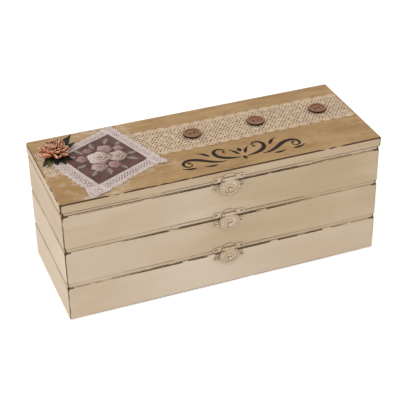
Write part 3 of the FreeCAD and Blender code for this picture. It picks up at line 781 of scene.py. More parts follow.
class PrintCard(bpy.types.Operator):
    """Makes the printed card: a bunch of blossoms and leaves on a dark ground"""
    bl_idname = "keepsake.print_card"
    bl_label = "Print Card"

    CELLS = 24
    # inset and height of each row of the card's rim, from its foot up
    RIM = ((0.0, -0.35), (0.0, -0.12), (0.08, -0.03), (0.25, 0.0))
    # centre, radius, turn and duskiness of each blossom
    BLOSSOMS = ((-3, 3, 10.5, 0.4, 0.0), (11, -6, 9.0, 1.1, 0.2), (-12, -9, 7.6, 2.9, 0.45),
                (10, 11, 7.2, 2.0, 0.55), (-15, 11, 5.6, 4.0, 0.75), (0, -15, 5.8, 1.7, 0.7),
                (20, 4, 4.8, 0.0, 0.65), (-3, 19, 4.4, 3.3, 0.85))
    # foot, heading, length and width of each leaf
    LEAVES = ((-17, 17, 128, 11, 5.4), (-9, 17, 98, 12, 5.2), (3, 18, 70, 11, 5.0), (15, 17, 40, 12, 5.6),
              (22, 10, 12, 9, 4.6), (19, -9, -22, 10, 5.2), (14, -13, -55, 12, 5.4), (3, -20, -84, 9, 4.6),
              (-8, -15, -112, 12, 5.4), (-18, -12, -150, 10, 5.0), (-19, 1, 172, 9, 5.2))

    def execute(self, context):
        trim = context.scene.keepsake_trim
        piece = self.card().build("printed_card", self.finish(trim), slot="print")
        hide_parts("print_card")
        return {"FINISHED"}

    def card(self):
        """A thin four-sided card with a softened rim, which rises a little over the band."""
        form, cells = Form(), self.CELLS
        front, right, back, left = PRINT_CORNERS
        side = ((right - front).length + (left - front).length) / 2

        def corner(across, along, inset, height):
            across, along = (0.5 + part * (0.5 - inset / side) for part in (across, along))
            spot = front.lerp(right, across).lerp(left.lerp(back, across), along)
            bow = 0.35 * (over_band(spot) - 0.5) + 0.06 * math.sin(spot.x / 7) * math.cos(spot.y / 9)
            return spot.to_3d() + UP * (PRINT_TOP + height + bow)

        def rim(inset, height):
            steps = [-1 + 2 * step / cells for step in range(cells)]
            around = ([(step, -1) for step in steps] + [(1, step) for step in steps]
                      + [(-step, 1) for step in steps] + [(-1, -step) for step in steps])
            return form.ring([corner(*spot, inset, height) for spot in around])

        def sheet(first, inset, height, upward):
            """Fills the inside of a rim whose first corner is given."""
            grid = {}
            for row in range(1, cells):
                for column in range(1, cells):
                    spot = corner(-1 + 2 * column / cells, -1 + 2 * row / cells, inset, height)
                    grid[column, row] = form.ring([spot])
            for step in range(cells):
                grid[step, 0] = first + step
                grid[cells, step] = first + cells + step
                grid[cells - step, cells] = first + 2 * cells + step
                grid[0, cells - step] = first + 3 * cells + step
            for row in range(cells):
                for column in range(cells):
                    face = (grid[column, row], grid[column + 1, row],
                            grid[column + 1, row + 1], grid[column, row + 1])
                    form.faces.append(face if upward else face[::-1])

        rims = [rim(inset, height) for inset, height in self.RIM]
        for low, high in zip(rims, rims[1:]):
            form.join(low, high, 4 * cells)
        sheet(rims[-1], *self.RIM[-1], True)
        sheet(rims[0], *self.RIM[0], False)
        return form

    def finish(self, trim):
        """Satin paper with the printed design, which runs square to the card."""
        finish = Finish("printed_paper", roughness=0.42, specular=0.2)
        front, right, _, left = PRINT_CORNERS
        lean = (right - front).normalized() - (left - front).normalized().orthogonal()
        spot = finish.vector("SUBTRACT", finish.place, (PRINT_MIDDLE.x, PRINT_MIDDLE.y, LID_TOP))
        level = finish.turned(spot, -math.atan2(lean.y, lean.x))
        brush = finish.add("TexNoise", finish.place, named={"Scale": 0.5, "Detail": 2.0}).outputs["Color"]
        dabs = finish.vector("MULTIPLY_ADD", brush, (2.4, 2.4, 0.0), (-1.2, -1.2, 0.0))
        self.spot = finish.vector("ADD", level, dabs)
        colour = finish.blend(
            trim.ground, (shade(100, 62, 50), finish.noise(0.11, 4, 0.6, 2), 0.35, 0.65),
            (shade(106, 78, 64), finish.noise(0.05, 2, 0.5, 6), 0.46, 0.66, 0, 0.6))
        for leaf in self.LEAVES:
            colour = self.leaf(finish, colour, trim, *leaf)
        for blossom in reversed(self.BLOSSOMS):
            colour = self.blossom(finish, colour, trim, *blossom)
        faded = finish.noise(0.8, 3, 0.7, 4)
        return finish.paint(finish.blend(colour, (shade(170, 150, 138), faded, 0.5, 0.75, 0, 0.16)))

    def blossom(self, finish, colour, trim, across, along, radius, turn, dusk):
        """One printed blossom: ruffled rings of petals, lit from above, over a soft shadow."""
        out = finish.vector("SUBTRACT", self.spot, (across, along, 0.0))
        flat = finish.vector("MULTIPLY", out, (1 / radius, 1 / radius, 0.0))
        x, y, _ = finish.axes(flat)
        angle = finish.math("ARCTAN2", y, x)
        lobes = finish.math("SINE", angle * 5.0 + turn)
        ruffle = finish.math("SINE", angle * 3.0 + turn * 2)
        reach = lobes * 0.07 + finish.number("LENGTH", flat)
        petal = finish.math("POWER", finish.math("FRACT", reach * 2.5 + ruffle * 0.4), 1.4)
        light = y * 0.3 + (x * -0.2 + 0.42)
        tone = petal * 0.55 + light - finish.step(reach, 0.0, 0.45, 0.3, 0.0)
        pale = Vector(trim.blossom).lerp(Vector(shade(150, 108, 98)), dusk)
        tint = finish.blend(shade(112, 70, 62), (pale, tone, 0.0, 1.0))
        return finish.blend(colour, (shade(70, 40, 36), reach, 0.9, 1.35, 0.75, 0.0),
                            (tint, reach, 0.9, 1.0, 1.0, 0.0))

    def leaf(self, finish, colour, trim, across, along, heading, length, width):
        """One printed leaf, darker on one side of its middle vein."""
        turn = math.radians(heading)
        centre = (across + math.cos(turn) * length / 2, along + math.sin(turn) * length / 2, 0.0)
        x, y, _ = finish.axes(finish.turned(finish.vector("SUBTRACT", self.spot, centre), -turn))
        off = abs(y)
        inside = x * x * (-2 * width / length ** 2) + width / 2 - off
        veins = finish.math("SINE", (x + off) * 3.0)
        tint = finish.blend(trim.foliage, (shade(96, 82, 68), veins, -0.2, 1.0, 0.0, 0.5),
                            (shade(84, 62, 54), y, -0.2, 0.2, 0.55, 0.0),
                            (trim.blossom, off, 0.1, 0.4, 0.6, 0.0))
        return finish.blend(colour, (tint, inside, 0.0, 0.3))


# Turned pieces -------------------------------------------------------------------------------

NEARLY_NONE = 0.02


def turn_profile(form, centre, axis, profile, sides):
    """Adds a closed solid turned about axis through centre. profile holds (radius, height) pairs
    from the foot to the top, and its end radii are at least NEARLY_NONE."""
    facing = Vector(axis).to_track_quat("Z", "Y")
    rings = []
    for radius, height in profile:
        places = [Vector(centre) + facing @ Vector((radius * math.cos(math.tau * side / sides),
                                                    radius * math.sin(math.tau * side / sides), height))
                  for side in range(sides)]
        rings.append(form.ring(places, [(radius, height, 0.0)] * sides))
    form.close(rings, sides)


def solids_of(node):
    """The lowest and highest corner of each separate solid in a CAD node, in millimetres."""
    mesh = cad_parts[node].data
    places = [tuple(round(part, 7) for part in vertex.co) for vertex in mesh.vertices]
    leader = {place: place for place in places}

    def find(place):
        while leader[place] != place:
            leader[place] = leader[leader[place]]
            place = leader[place]
        return place

    for face in mesh.polygons:
        for corner in face.vertices[1:]:
            leader[find(places[corner])] = find(places[face.vertices[0]])
    groups = {}
    for place in leader:
        groups.setdefault(find(place), []).append(place)
    return [tuple(Vector(pick(place[axis] for place in group) for axis in range(3)) / MM
                  for pick in (min, max)) for group in groups.values()]


def cut_away(piece, cutters):
    """Cuts the cutters out of a piece for good, and removes them."""
    for cutter in cutters:
        cut = piece.modifiers.new("cut", "BOOLEAN")
        cut.object = cutter
        cut.solver = "EXACT"
    graph = bpy.context.evaluated_depsgraph_get()
    whole = piece.data
    piece.data = bpy.data.meshes.new_from_object(piece.evaluated_get(graph))
    piece.modifiers.clear()
    bpy.data.meshes.remove(whole)
    for cutter in cutters:
        bpy.data.objects.remove(cutter)


class WoodButtons(bpy.types.Operator):
    """Makes the turned wooden buttons on the lace band"""
    bl_idname = "keepsake.wood_buttons"
    bl_label = "Wood Buttons"

    SIDES = 64
    PROFILE = ((0.0, 0.01), (0.66, 0.0), (0.8, 0.02), (0.93, 0.22), (0.99, 0.45), (1.0, 0.6), (0.995, 0.76),
               (0.965, 0.92), (0.92, 0.985), (0.86, 1.0), (0.79, 0.985), (0.74, 0.92), (0.7, 0.8),
               (0.66, 0.72), (0.6, 0.69), (0.0, 0.7))
    HOLE_RADIUS = 0.95
    HOLE_APART = 2.1
    HOLE_SIDES = 20
    COUNTERSINK = 1.35
    # share of the radius that holds the holes, and share of the height under which they get painted shade
    HOLES_WITHIN = 0.5
    DISH = 0.68
    TURNS = (8, -6, 20)
    # shares of the radius at which the groove and the worn rim lie
    GROOVE = 0.7
    RIM = 0.87

    def execute(self, context):
        trim = context.scene.keepsake_trim
        material = self.wood(trim)
        for number, (low, high) in enumerate(sorted(solids_of("buttons"), key=lambda ends: ends[0].x)):
            centre = Vector(((low.x + high.x) / 2, (low.y + high.y) / 2, low.z))
            radius, tall = (high.x - low.x) / 2, high.z - low.z
            form = Form()
            profile = [(max(share * radius, NEARLY_NONE), height * tall) for share, height in self.PROFILE]
            turn_profile(form, centre, UP, profile, self.SIDES)
            piece = form.build("wood_button_%d" % (number + 1), material, slot="button_wood")
            cut_away(piece, [self.hole(centre, side * self.HOLE_APART, tall, number) for side in (-1, 1)])
            # the cut leaves the marks empty, so they are laid again
            marks = piece.data.attributes["mark"].data
            for vertex in piece.data.vertices:
                out = vertex.co / MM - centre
                share = out.xy.length / radius
                # the third mark says where painted shade fills a hole
                in_hole = share < self.HOLES_WITHIN and out.z / tall < self.DISH
                marks[vertex.index].vector = (share, out.z / tall, float(in_hole))
            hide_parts("buttons")
        return {"FINISHED"}

    def hole(self, centre, aside, tall, number):
        """A cutter for one sewing hole."""
        form = Form()
        turn = math.radians(self.TURNS[number])
        spot = centre + Vector((math.cos(turn), math.sin(turn), 0.0)) * aside
        narrow, wide = self.HOLE_RADIUS, self.HOLE_RADIUS * self.COUNTERSINK
        profile = [(narrow, -1.0), (narrow, tall * 0.62), (wide, tall * 0.8), (wide, tall * 1.5)]
        turn_profile(form, spot, UP, profile, self.HOLE_SIDES)
        return form.shape("hole")

    def wood(self, trim):
        """Oiled wood: straight grain and a pale worn rim, with painted shade on its side, in its holes, in
        its groove and in narrow places.
        """
        finish = Finish("button_wood", roughness=0.45, specular=0.2)
        grain = finish.noise((0.22, 1.5, 1.2), 4, 0.6, 8)
        pores = finish.noise((0.5, 5.0, 4.0), 2, 0.6, 18)
        wood = trim.button_wood
        deep = tuple(part * 0.4 for part in wood)
        light = tuple(min(1.0, part * 1.35) for part in wood)
        radius, height, hole = finish.marks()
        # side, hole, the groove and crevices give painted shade; grain, pores and the pale rim are the
        # wood's own
        side = finish.step(radius, 0.9, 0.97) * finish.step(height, 0.8, 0.97, 0.97, 0.0)
        colour = finish.blend(
            wood, (light, grain, 0.34, 0.64), (deep, pores, 0.52, 0.72, 0.0, 0.65),
            (shade(84, 48, 32), abs(radius - self.GROOVE), 0.02, 0.1, 0.5, 0.0),
            (shade(196, 152, 118), abs(radius - self.RIM), 0.0, 0.12, 0.15, 0.0),
            (shade(40, 20, 13), side), (shade(28, 13, 8), hole, 0.0, 0.8),
            (shade(52, 28, 18), finish.crevices(1.6, 0.8)))
        finish.bump(grain, 0.06)
        return finish.paint(colour, finish.step(grain, 0.3, 0.7, 0.42, 0.6))


# Scrolls -------------------------------------------------------------------------------------

class PaintScrolls(bpy.types.Operator):
    """Makes the painted scrolls on the front of the lid"""
    bl_idname = "keepsake.paint_scrolls"
    bl_label = "Paint Scrolls"

    MIDDLE = (23.0, -33.5)
    STEPS = 44
    RAISED = 0.09
    SUNK = 0.04
    # shares of a stroke's width at its tips and at its round end, and where that end lies
    TIP = 0.16
    ROUND = 0.42
    ROUND_AT = 0.975
    ROUND_REACH = 0.025
    # start across and along, heading in degrees, length, bend at the start and end, width
    SCROLLS = ((3.0, -7.5, 4, 47, 0.02, 0.33, 4.6), (17.0, -9.0, -4, 62, 0.055, -0.42, 4.6),
               (2.8, -3.0, 72, 12, -0.03, -0.1, 3.4), (29.0, 3.0, 62, 13, -0.02, -0.2, 3.6),
               (46.0, -10.8, -6, 13, 0.04, 0.12, 3.4), (27.0, -12.3, -8, 12, 0.03, 0.1, 3.0))

    # across, along and size
    DROPS = ((0.0, 4.5, 2.4), (0.0, -9.5, 2.2))
    DROP_STEPS = (0.04, 0.25, 0.5, 0.75, 0.96)

    def execute(self, context):
        form = Form()
        for scroll in self.SCROLLS:
            for side in (-1, 1):
                self.stroke(form, side, *scroll)
        for across, along, size in self.DROPS:
            self.drop(form, across, along, size)
        material = self.finish(context.scene.keepsake_paint)
        form.build("painted_scrolls", material, slot="lid_paint")
        return {"FINISHED"}

    def stroke(self, form, side, across, along, heading, length, bend_start, bend_end, width):
        """A brush stroke that curls tighter to its end, swells in its middle and ends in a round."""
        x, y, turn = across, along, math.radians(heading)
        rims = []
        for step in range(self.STEPS + 1):
            share = step / self.STEPS
            full = width / 2 * (self.TIP + (1 - self.TIP) * math.sin(math.pi * share ** 0.75) ** 1.3)
            near_end = math.exp(-((share - self.ROUND_AT) / self.ROUND_REACH) ** 2)
            full = max(full, width * self.ROUND * near_end)
            edge = Vector((-math.sin(turn), math.cos(turn)))
            rims.append([Vector((x, y)) + edge * reach * full for reach in (-1.0, -0.8, 0.8, 1.0)])
            x += math.cos(turn) * length / self.STEPS
            y += math.sin(turn) * length / self.STEPS
            bend = bend_start + (bend_end - bend_start) * share ** 1.8
            turn += bend * length / self.STEPS
        self.solid(form, rims, side)

    def drop(self, form, across, along, size):
        """A small diamond-shaped dab."""
        rims = []
        for share in self.DROP_STEPS:
            half, up = size * math.sin(math.pi * share), along + (share - 0.5) * 3 * size
            rims.append([Vector((across + reach * half, up)) for reach in (-1.0, -0.7, 0.7, 1.0)])
        self.solid(form, rims, 1)

    def solid(self, form, rims, side):
        """Closes rows of four edge points to a thin raised layer of paint."""
        rings = []
        for low_first, first, second, low_second in rims:
            row = [(low_first, -self.SUNK), (first, self.RAISED), (second, self.RAISED),
                   (low_second, -self.SUNK)]
            places = [Vector((self.MIDDLE[0] + side * spot.x, self.MIDDLE[1] + spot.y, LID_TOP + height))
                      for spot, height in row]
            rings.append(form.ring(places if side > 0 else places[::-1]))
        form.close(rings, 4)

    def finish(self, paint):
        """Dark brown paint, thin in places."""
        finish = Finish("scroll_paint", specular=0.15)
        thin = finish.noise((0.5, 1.2, 1.0), 3, 0.6, 12)
        colour = finish.blend(paint.scroll, (shade(78, 52, 34), thin, 0.5, 0.8, 0.0, 0.4))
        return finish.paint(colour, finish.step(thin, 0.3, 0.7, 0.55, 0.7))


# Flower --------------------------------------------------------------------------------------

def paper_finish(name, base, edge, deep):
    """Dyed paper with a pale edge and fine ribs along it, darker towards its foot, and painted
    shade in the narrow places between petals. Its marks are along, across and tint."""
    finish = Finish(name, roughness=0.7, specular=0.2)
    along, across, tint = finish.marks()
    cloud = finish.noise(0.35, 3, 0.6, 4)
    rim = finish.math("MAXIMUM", finish.step(abs(across), 0.66, 0.96), finish.step(along, 0.8, 0.97))
    # along turns the petals darker towards the foot; the crevices coat is painted shade between petals
    colour = finish.blend(
        base, (shade(226, 158, 104), tint, 0.3, 1.0, 0.0, 0.7),
        (shade(198, 112, 88), tint, 0.0, 0.35, 0.7, 0.0), (deep, along, 0.05, 0.6, 1.0, 0.0),
        (edge, rim * 0.9), (deep, cloud, 0.4, 0.75, 0.0, 0.4), (deep, finish.crevices(3.2, 0.8)))
    finish.bump(finish.math("SINE", across * 34.0), 0.05)
    finish.bump(cloud, 0.15)
    return finish.paint(colour)


BLADE_STEPS = 10
BLADE_CELLS = 8


def bend_blade(form, shape, foot, turn, tilt, curl, length, width, cup, tint, ruffle, lean=0.0):
    """Adds one petal or leaf: shape gives its half width along it, and it rises, curls, cups and
    leans over to one side."""
    heading = Vector((math.cos(turn), math.sin(turn), 0.0))
    side = Vector((-heading.y, heading.x, 0.0)) * math.cos(lean) + UP * math.sin(lean)
    rise = heading.cross(side)
    steps, cells = BLADE_STEPS, BLADE_CELLS
    spot, rows = Vector(foot), []
    for step in range(steps + 1):
        share = step / steps
        slope = tilt + curl * share ** 1.5
        along = heading * math.cos(slope) + rise * math.sin(slope)
        over = along.cross(side)
        half = width / 2 * shape(share)
        places, marks = [], []
        for cell in range(cells + 1):
            across = 2 * cell / cells - 1
            wave = ruffle * math.sin(share * 7 + across * 4 + tint * 20) * share
            places.append(spot + side * half * across * (1 - 0.18 * cup * across ** 2)
                          + over * (cup * half * across ** 2 + wave))
            marks.append((share, across, tint))
        rows.append(form.ring(places, marks))
        spot += along * length / steps
    for first, second in zip(rows, rows[1:]):
        form.join(first, second, cells + 1, closed=False)


def petal_shape(share):
    """Half width of a petal: a narrow foot, a full middle and a round tip."""
    foot = 0.35 + 0.65 * math.sin(math.pi / 2 * min(share / 0.55, 1.0))
    return foot * max(0.0, 1 - (max(share - 0.55, 0.0) / 0.45) ** 2.4) ** 0.6 + 0.02


def leaf_shape(share):
    """Half width of a leaf with small teeth along its edge."""
    teeth = 1 + 0.09 * math.sin(share * 40)
    return max(0.03, math.sin(math.pi * share ** 0.8)) * teeth


def thicken(piece, thickness):
    """Gives a blade its thickness and smooths it."""
    smooth = piece.modifiers.new("smooth", "SUBSURF")
    smooth.levels = smooth.render_levels = 1
    solid = piece.modifiers.new("paper", "SOLIDIFY")
    solid.thickness = thickness
    solid.offset = 0.0


class PaperFlower(bpy.types.Operator):
    """Makes the paper flower: rings of cupped petals round a curled middle"""
    bl_idname = "keepsake.paper_flower"
    bl_label = "Paper Flower"

    # petals, foot's radius and height, tilt and curl in degrees, length, width, cup
    RINGS = ((12, 3.8, 0.4, 5, 48, 13.6, 7.6, 0.95), (11, 3.0, 2.0, 20, 50, 12.4, 7.4, 1.0),
             (9, 2.2, 3.6, 36, 52, 10.8, 7.0, 1.0), (7, 1.5, 5.0, 52, 56, 8.8, 6.2, 1.0),
             (5, 0.8, 5.6, 66, 64, 6.6, 5.0, 1.0))
    RUFFLE = 0.55

    def execute(self, context):
        flower = context.scene.keepsake_flower
        pick = random.Random(5)
        form = Form()
        for count, radius, height, tilt, curl, length, width, cup in self.RINGS:
            first = pick.uniform(0, math.tau)
            for petal in range(count):
                turn = first + math.tau * (petal + pick.uniform(-0.3, 0.3)) / count
                foot = Vector((FLOWER_MIDDLE.x + math.cos(turn) * radius,
                               FLOWER_MIDDLE.y + math.sin(turn) * radius, FLOWER_LOW.z + height))
                bend_blade(form, petal_shape, foot, turn, math.radians(tilt + pick.uniform(-3, 16)),
                           math.radians(curl + pick.uniform(-22, 22)), length * pick.uniform(0.86, 1.08),
                           width * pick.uniform(0.85, 1.12), cup * pick.uniform(0.5, 1.3),
                           pick.random(), self.RUFFLE, pick.uniform(-0.45, 0.45))
        material = paper_finish("petal_paper", flower.petal, flower.petal_edge, flower.petal_deep)
        piece = form.build("paper_petals", material, slot="petals")
        thicken(piece, flower.thickness)
        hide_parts("paper_flower")
        return {"FINISHED"}


class FlowerLeaves(bpy.types.Operator):
    """Makes the leaves under the flower"""
    bl_idname = "keepsake.flower_leaves"
    bl_label = "Flower Leaves"

    # heading, tilt and curl in degrees, length, width, and tint from dark to green
    LEAVES = ((41, 12, 12, 28, 11.0, 0.0), (22, 8, 10, 23, 10.0, 0.1), (224, 2, -6, 20, 7.5, 0.45),
              (240, 3, -8, 19, 8.5, 0.95), (264, 4, -8, 16.5, 10.0, 0.1), (288, 3, -4, 19, 11.5, 0.0),
              (314, 2, -2, 19, 9.0, 0.0))
    FOOT_UP = 1.2
    CUP = 0.28
    RUFFLE = 0.5

    def execute(self, context):
        flower = context.scene.keepsake_flower
        form = Form()
        foot = Vector((*FLOWER_MIDDLE.xy, LID_TOP + self.FOOT_UP))
        for heading, tilt, curl, length, width, tint in self.LEAVES:
            turns = (math.radians(angle) for angle in (heading, tilt, curl))
            bend_blade(form, leaf_shape, foot, *turns, length, width, self.CUP, tint, self.RUFFLE)
        piece = form.build("paper_leaves", self.finish(flower), slot="leaves")
        thicken(piece, flower.thickness)
        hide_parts("flower_leaves")
        return {"FINISHED"}

    def finish(self, flower):
        """Dyed leaf paper with a pale middle vein and side veins, and painted shade in the narrow places
        under the flower.
        """
        finish = Finish("leaf_paper", roughness=0.62, specular=0.25)
        along, across, tint = finish.marks()
        off = abs(across)
        vein = abs(finish.math("FRACT", off * -1.1 + along * 5.5) - 0.5)
        line = finish.math("MAXIMUM", finish.step(off, 0.03, 0.1, 1.0, 0.0),
                           finish.step(vein, 0.02, 0.12, 0.7, 0.0))
        blotch = finish.noise(0.4, 3, 0.6, 15)
        green = finish.blend(flower.leaf, (shade(112, 110, 60), blotch, 0.35, 0.7))
        # the crevices coat is painted shade where the leaves lie close under the petals
        colour = finish.blend(flower.leaf_dark, (green, tint, 0.0, 1.0), (shade(128, 118, 78), line * 0.3),
                              (flower.leaf_dark, finish.crevices(6.0, 0.8)))
        finish.bump(line, -0.12)
        return finish.paint(colour)


# Metal ---------------------------------------------------------------------------------------

def painted_metal_finish():
    """Cream paint over stamped metal, with glaze and painted shade in its hollows, nail heads
    darker towards their rim, and bright metal where it is rubbed."""
    paint = bpy.context.scene.keepsake_paint
    finish = Finish("painted_metal", roughness=0.42, specular=0.45)
    colour, _ = brushed_cream(finish, paint, brush_places(finish), 140)
    grime = finish.noise(0.34, 4, 0.68, 44)
    rubbed = finish.step(finish.noise(0.75, 2, 0.6, 61), 0.64, 0.69)
    # hollows: glaze in noisy patches, and painted shade in the narrow places between parts
    hollows = finish.math("MAXIMUM", finish.step(grime, 0.62, 0.76, 0.0, 0.7),
                          finish.crevices(1.5, clear=0.97))
    # nail heads darken towards the rim: base coat and painted shade
    nail_radius = finish.marks()[0]
    colour = finish.blend(
        colour, (paint.glaze, grime, 0.48, 0.7, 0.0, 0.75), (paint.base_coat_and_shade, hollows * 0.9),
        (paint.base_coat_and_shade, nail_radius, 0.4, 1.0, 0.0, 0.9), (shade(236, 222, 198), rubbed))
    finish.feed(finish.shader["Metallic"], rubbed)
    finish.bump(grime, 0.12)
    return finish.paint(colour, finish.step(rubbed, 0.0, 1.0, 0.45, 0.24))


def brass_finish():
    """Old brass: warm, tarnished to brown in its hollows, with fine scratches."""
    finish = Finish("old_brass", metallic=1.0)
    tarnish = finish.noise(0.16, 4, 0.65, 71)
    scratches = finish.noise((0.4, 4.0, 2.5), 2, 0.5, 83)
    colour = finish.blend(shade(168, 138, 86), (shade(128, 98, 58), tarnish, 0.38, 0.62),
                          (shade(84, 60, 38), tarnish, 0.56, 0.72, 0.0, 0.7),
                          (shade(58, 42, 28), finish.crevices(0.9)))
    finish.bump(scratches, 0.015)
    return finish.paint(colour, finish.step(tarnish, 0.35, 0.7, 0.34, 0.58))


PIN_SIDES = 20


def headed_pin(form, low, high, outward, profile, shank):
    """Adds a nail or screw in the box of its CAD solid, its shank along Y and its head outward.
    profile holds a share of the head's radius and a depth below its top, from the rim inward."""
    radius = (high.x - low.x) / 2
    middle = (low + high) / 2
    tip = high.y if outward < 0 else low.y
    length = high.y - low.y
    head = [(max(share * radius, NEARLY_NONE), length - depth) for share, depth in profile]
    rings = [(NEARLY_NONE, 0.0), (shank, 0.0), (shank, length - profile[0][1]), *head]
    turn_profile(form, (middle.x, tip, middle.z), (0.0, outward, 0.0), rings, PIN_SIDES)


class FitClasps(bpy.types.Operator):
    """Finishes the clasps and makes their domed nails"""
    bl_idname = "keepsake.fit_clasps"
    bl_label = "Fit Clasps"

    DOME = ((1.0, 0.7), (1.0, 0.52), (0.86, 0.26), (0.58, 0.07), (0.02, 0.0))
    SHANK = 0.55

    def execute(self, context):
        material = painted_metal_finish()
        for seam in SEAMS:
            for part in ("_clasp_plate", "_clasp_tongue", "_clasp_rivet", "_clasp_catch"):
                give(seam + part, material)
        for tray, body in BODIES.items():
            form = Form()
            for low, high in solids_of(tray + "_clasp_nails"):
                headed_pin(form, low, high, -1.0, self.DOME, self.SHANK)
            piece = form.build(tray + "_nails", material, body, "painted_metal")
            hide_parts(tray + "_clasp_nails")
        return {"FINISHED"}


class FitHinges(bpy.types.Operator):
    """Finishes the hinges and their screws"""
    bl_idname = "keepsake.fit_hinges"
    bl_label = "Fit Hinges"

    DOME = ((1.0, 0.8), (1.0, 0.66), (0.9, 0.4), (0.66, 0.14), (0.3, 0.02), (0.02, 0.0))
    SHANK = 0.8
    # length, width and depth of a screw's slot
    SLOT = (3.6, 0.36, 0.42)

    def execute(self, context):
        material = brass_finish()
        for seam in SEAMS:
            give(seam + "_hinge_pins", material)
            for side in ("left", "right"):
                for leaf in ("fixed", "moving"):
                    give("%s_hinge_%s_%s_leaf" % (seam, side, leaf), material)
        for tray in BODIES:
            self.screws(tray, material)
        return {"FINISHED"}

    def screws(self, tray, material):
        """The slotted screws of one tier, each turned its own way."""
        form, slots, pick = Form(), [], random.Random(tray)
        for low, high in solids_of(tray + "_hinge_screws"):
            headed_pin(form, low, high, 1.0, self.DOME, self.SHANK)
            slots.append(self.slot(Vector(((low.x + high.x) / 2, high.y, (low.z + high.z) / 2)),
                                   pick.uniform(0, math.pi)))
        piece = form.build(tray + "_screws", material, BODIES[tray], "brass")
        cut_away(piece, slots)
        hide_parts(tray + "_hinge_screws")

    def slot(self, top, turn):
        """A cutter for one screw's slot."""
        form = Form()
        long, wide, deep = (part / 2 for part in self.SLOT)
        heading = Vector((math.cos(turn), 0.0, math.sin(turn)))
        side = Vector((-heading.z, 0.0, heading.x))
        rings = [form.ring([top + heading * long * first + side * wide * second + Vector((0.0, out, 0.0))
                            for first, second in ((-1, -1), (1, -1), (1, 1), (-1, 1))])
                 for out in (-2 * deep, 2 * deep)]
        form.join(rings[1], rings[0], 4)
        form.faces.append(tuple(range(rings[0] + 3, rings[0] - 1, -1)))
        form.faces.append(tuple(range(rings[1], rings[1] + 4)))
        return form.shape("slot")


# Stage ---------------------------------------------------------------------------------------

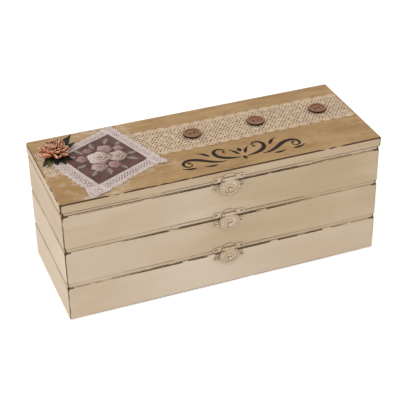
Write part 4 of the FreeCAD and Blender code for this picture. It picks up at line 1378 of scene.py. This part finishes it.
class SetStage(bpy.types.Operator):
    """Makes the pale floor, the soft light and the camera"""
    bl_idname = "keepsake.set_stage"
    bl_label = "Set Stage"

    LOOK_AT = Vector((-4.2, 0.0, 57.0)) * MM
    FLOOR_SIZE = 6.0
    FLOOR_DROP = 0.0002
    FLOOR_GLOW = 0.45
    SENSOR = 36.0
    # name, place and size in metres, and share of the main lamp's power
    LAMPS = (("key_lamp", (-0.9, -1.5, 1.9), 1.3, 1.0), ("fill_lamp", (1.6, -1.2, 1.2), 1.4, 0.4),
             ("side_lamp", (-2.0, -0.2, 0.7), 1.6, 0.8))

    def execute(self, context):
        stage = context.scene.keepsake_stage
        self.floor()
        self.surround(context, stage)
        for name, place, size, share in self.LAMPS:
            self.lamp(name, place, size, stage.key * share)
        self.camera(context, stage)
        context.scene.view_settings.view_transform = "Standard"
        return {"FINISHED"}

    def floor(self):
        """A wide pale sheet that keeps the box's shadow."""
        half = self.FLOOR_SIZE / 2
        mesh = bpy.data.meshes.new("floor")
        corners = [(across * half, deep * half, -self.FLOOR_DROP)
                   for across, deep in ((-1, -1), (1, -1), (1, 1), (-1, 1))]
        mesh.from_pydata(corners, [], [(0, 1, 2, 3)])
        floor = put_in_scene("floor", mesh)
        finish = Finish("floor_paper", roughness=1.0, specular=0.0)
        finish.paint(shade(235, 234, 232))
        glow = finish.add("Emission", WHITE, finish.seen_directly() * self.FLOOR_GLOW)
        both = finish.add("AddShader", finish.nodes["Principled BSDF"].outputs[0], glow.outputs[0])
        finish.feed(finish.nodes["Material Output"].inputs["Surface"], both.outputs[0])
        mesh.materials.append(finish.material)

    def surround(self, context, stage):
        """An even soft light from all round, white where the camera sees it."""
        world = bpy.data.worlds.new("surround")
        context.scene.world = world
        tree = Tree(world)
        strength = tree.add("MapRange", tree.seen_directly(),
                            named={"To Min": stage.daylight, "To Max": 1.0})
        background = tree.nodes["Background"].inputs
        tree.feed(background["Color"], WHITE)
        tree.feed(background["Strength"], strength.outputs["Result"])

    def lamp(self, name, place, size, power):
        """A large square lamp that faces the box."""
        light = bpy.data.lights.new(name, "AREA")
        light.size = size
        light.energy = power
        lamp = put_in_scene(name, light)
        lamp.location = place
        lamp.rotation_euler = (Vector(place) - self.LOOK_AT).to_track_quat("Z", "Y").to_euler()

    def camera(self, context, stage):
        """The camera, turned and rolled about the point it looks at."""
        turn, rise, roll = stage.azimuth, stage.elevation, stage.roll
        back = Vector((math.sin(turn) * math.cos(rise), -math.cos(turn) * math.cos(rise), math.sin(rise)))
        right = UP.cross(back).normalized()
        above = back.cross(right)
        side = right * math.cos(roll) + above * math.sin(roll)
        top = above * math.cos(roll) - right * math.sin(roll)
        data = bpy.data.cameras.new("camera")
        data.lens = stage.focal
        data.sensor_width = self.SENSOR
        camera = put_in_scene("camera", data)
        axes = Matrix((side, top, back)).transposed()
        camera.matrix_world = Matrix.Translation(self.LOOK_AT + back * stage.distance) @ axes.to_4x4()
        context.scene.camera = camera


# Registration --------------------------------------------------------------------------------

STEPS = (PaintTrays, PaintLid, PaintScrolls, LaceBand, LaceStrips, PrintCard, WoodButtons, PaperFlower,
         FlowerLeaves, FitClasps, FitHinges, SetStage)


class KeepsakePanel(bpy.types.Panel):
    """Lists the steps in order"""
    bl_idname = "VIEW3D_PT_keepsake"
    bl_label = "Keepsake Box"
    bl_space_type = "VIEW_3D"
    bl_region_type = "UI"
    bl_category = "Keepsake Box"

    def draw(self, context):
        for step in STEPS:
            self.layout.operator(step.bl_idname)


SETTINGS = {
    "keepsake_paint": KeepsakePaint,
    "keepsake_trim": KeepsakeTrim,
    "keepsake_flower": KeepsakeFlower,
    "keepsake_stage": KeepsakeStage,
}
CLASSES = (*SETTINGS.values(), *STEPS, KeepsakePanel)


def register():
    for item in CLASSES:
        bpy.utils.register_class(item)
    for name, group in SETTINGS.items():
        setattr(bpy.types.Scene, name, bpy.props.PointerProperty(type=group))


def unregister():
    for name in SETTINGS:
        delattr(bpy.types.Scene, name)
    for item in reversed(CLASSES):
        bpy.utils.unregister_class(item)


def main():
    """Registers the add-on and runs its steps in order."""
    register()
    for step in STEPS:
        category, name = step.bl_idname.split(".")
        getattr(getattr(bpy.ops, category), name)()


if __name__ == "__main__":
    main()
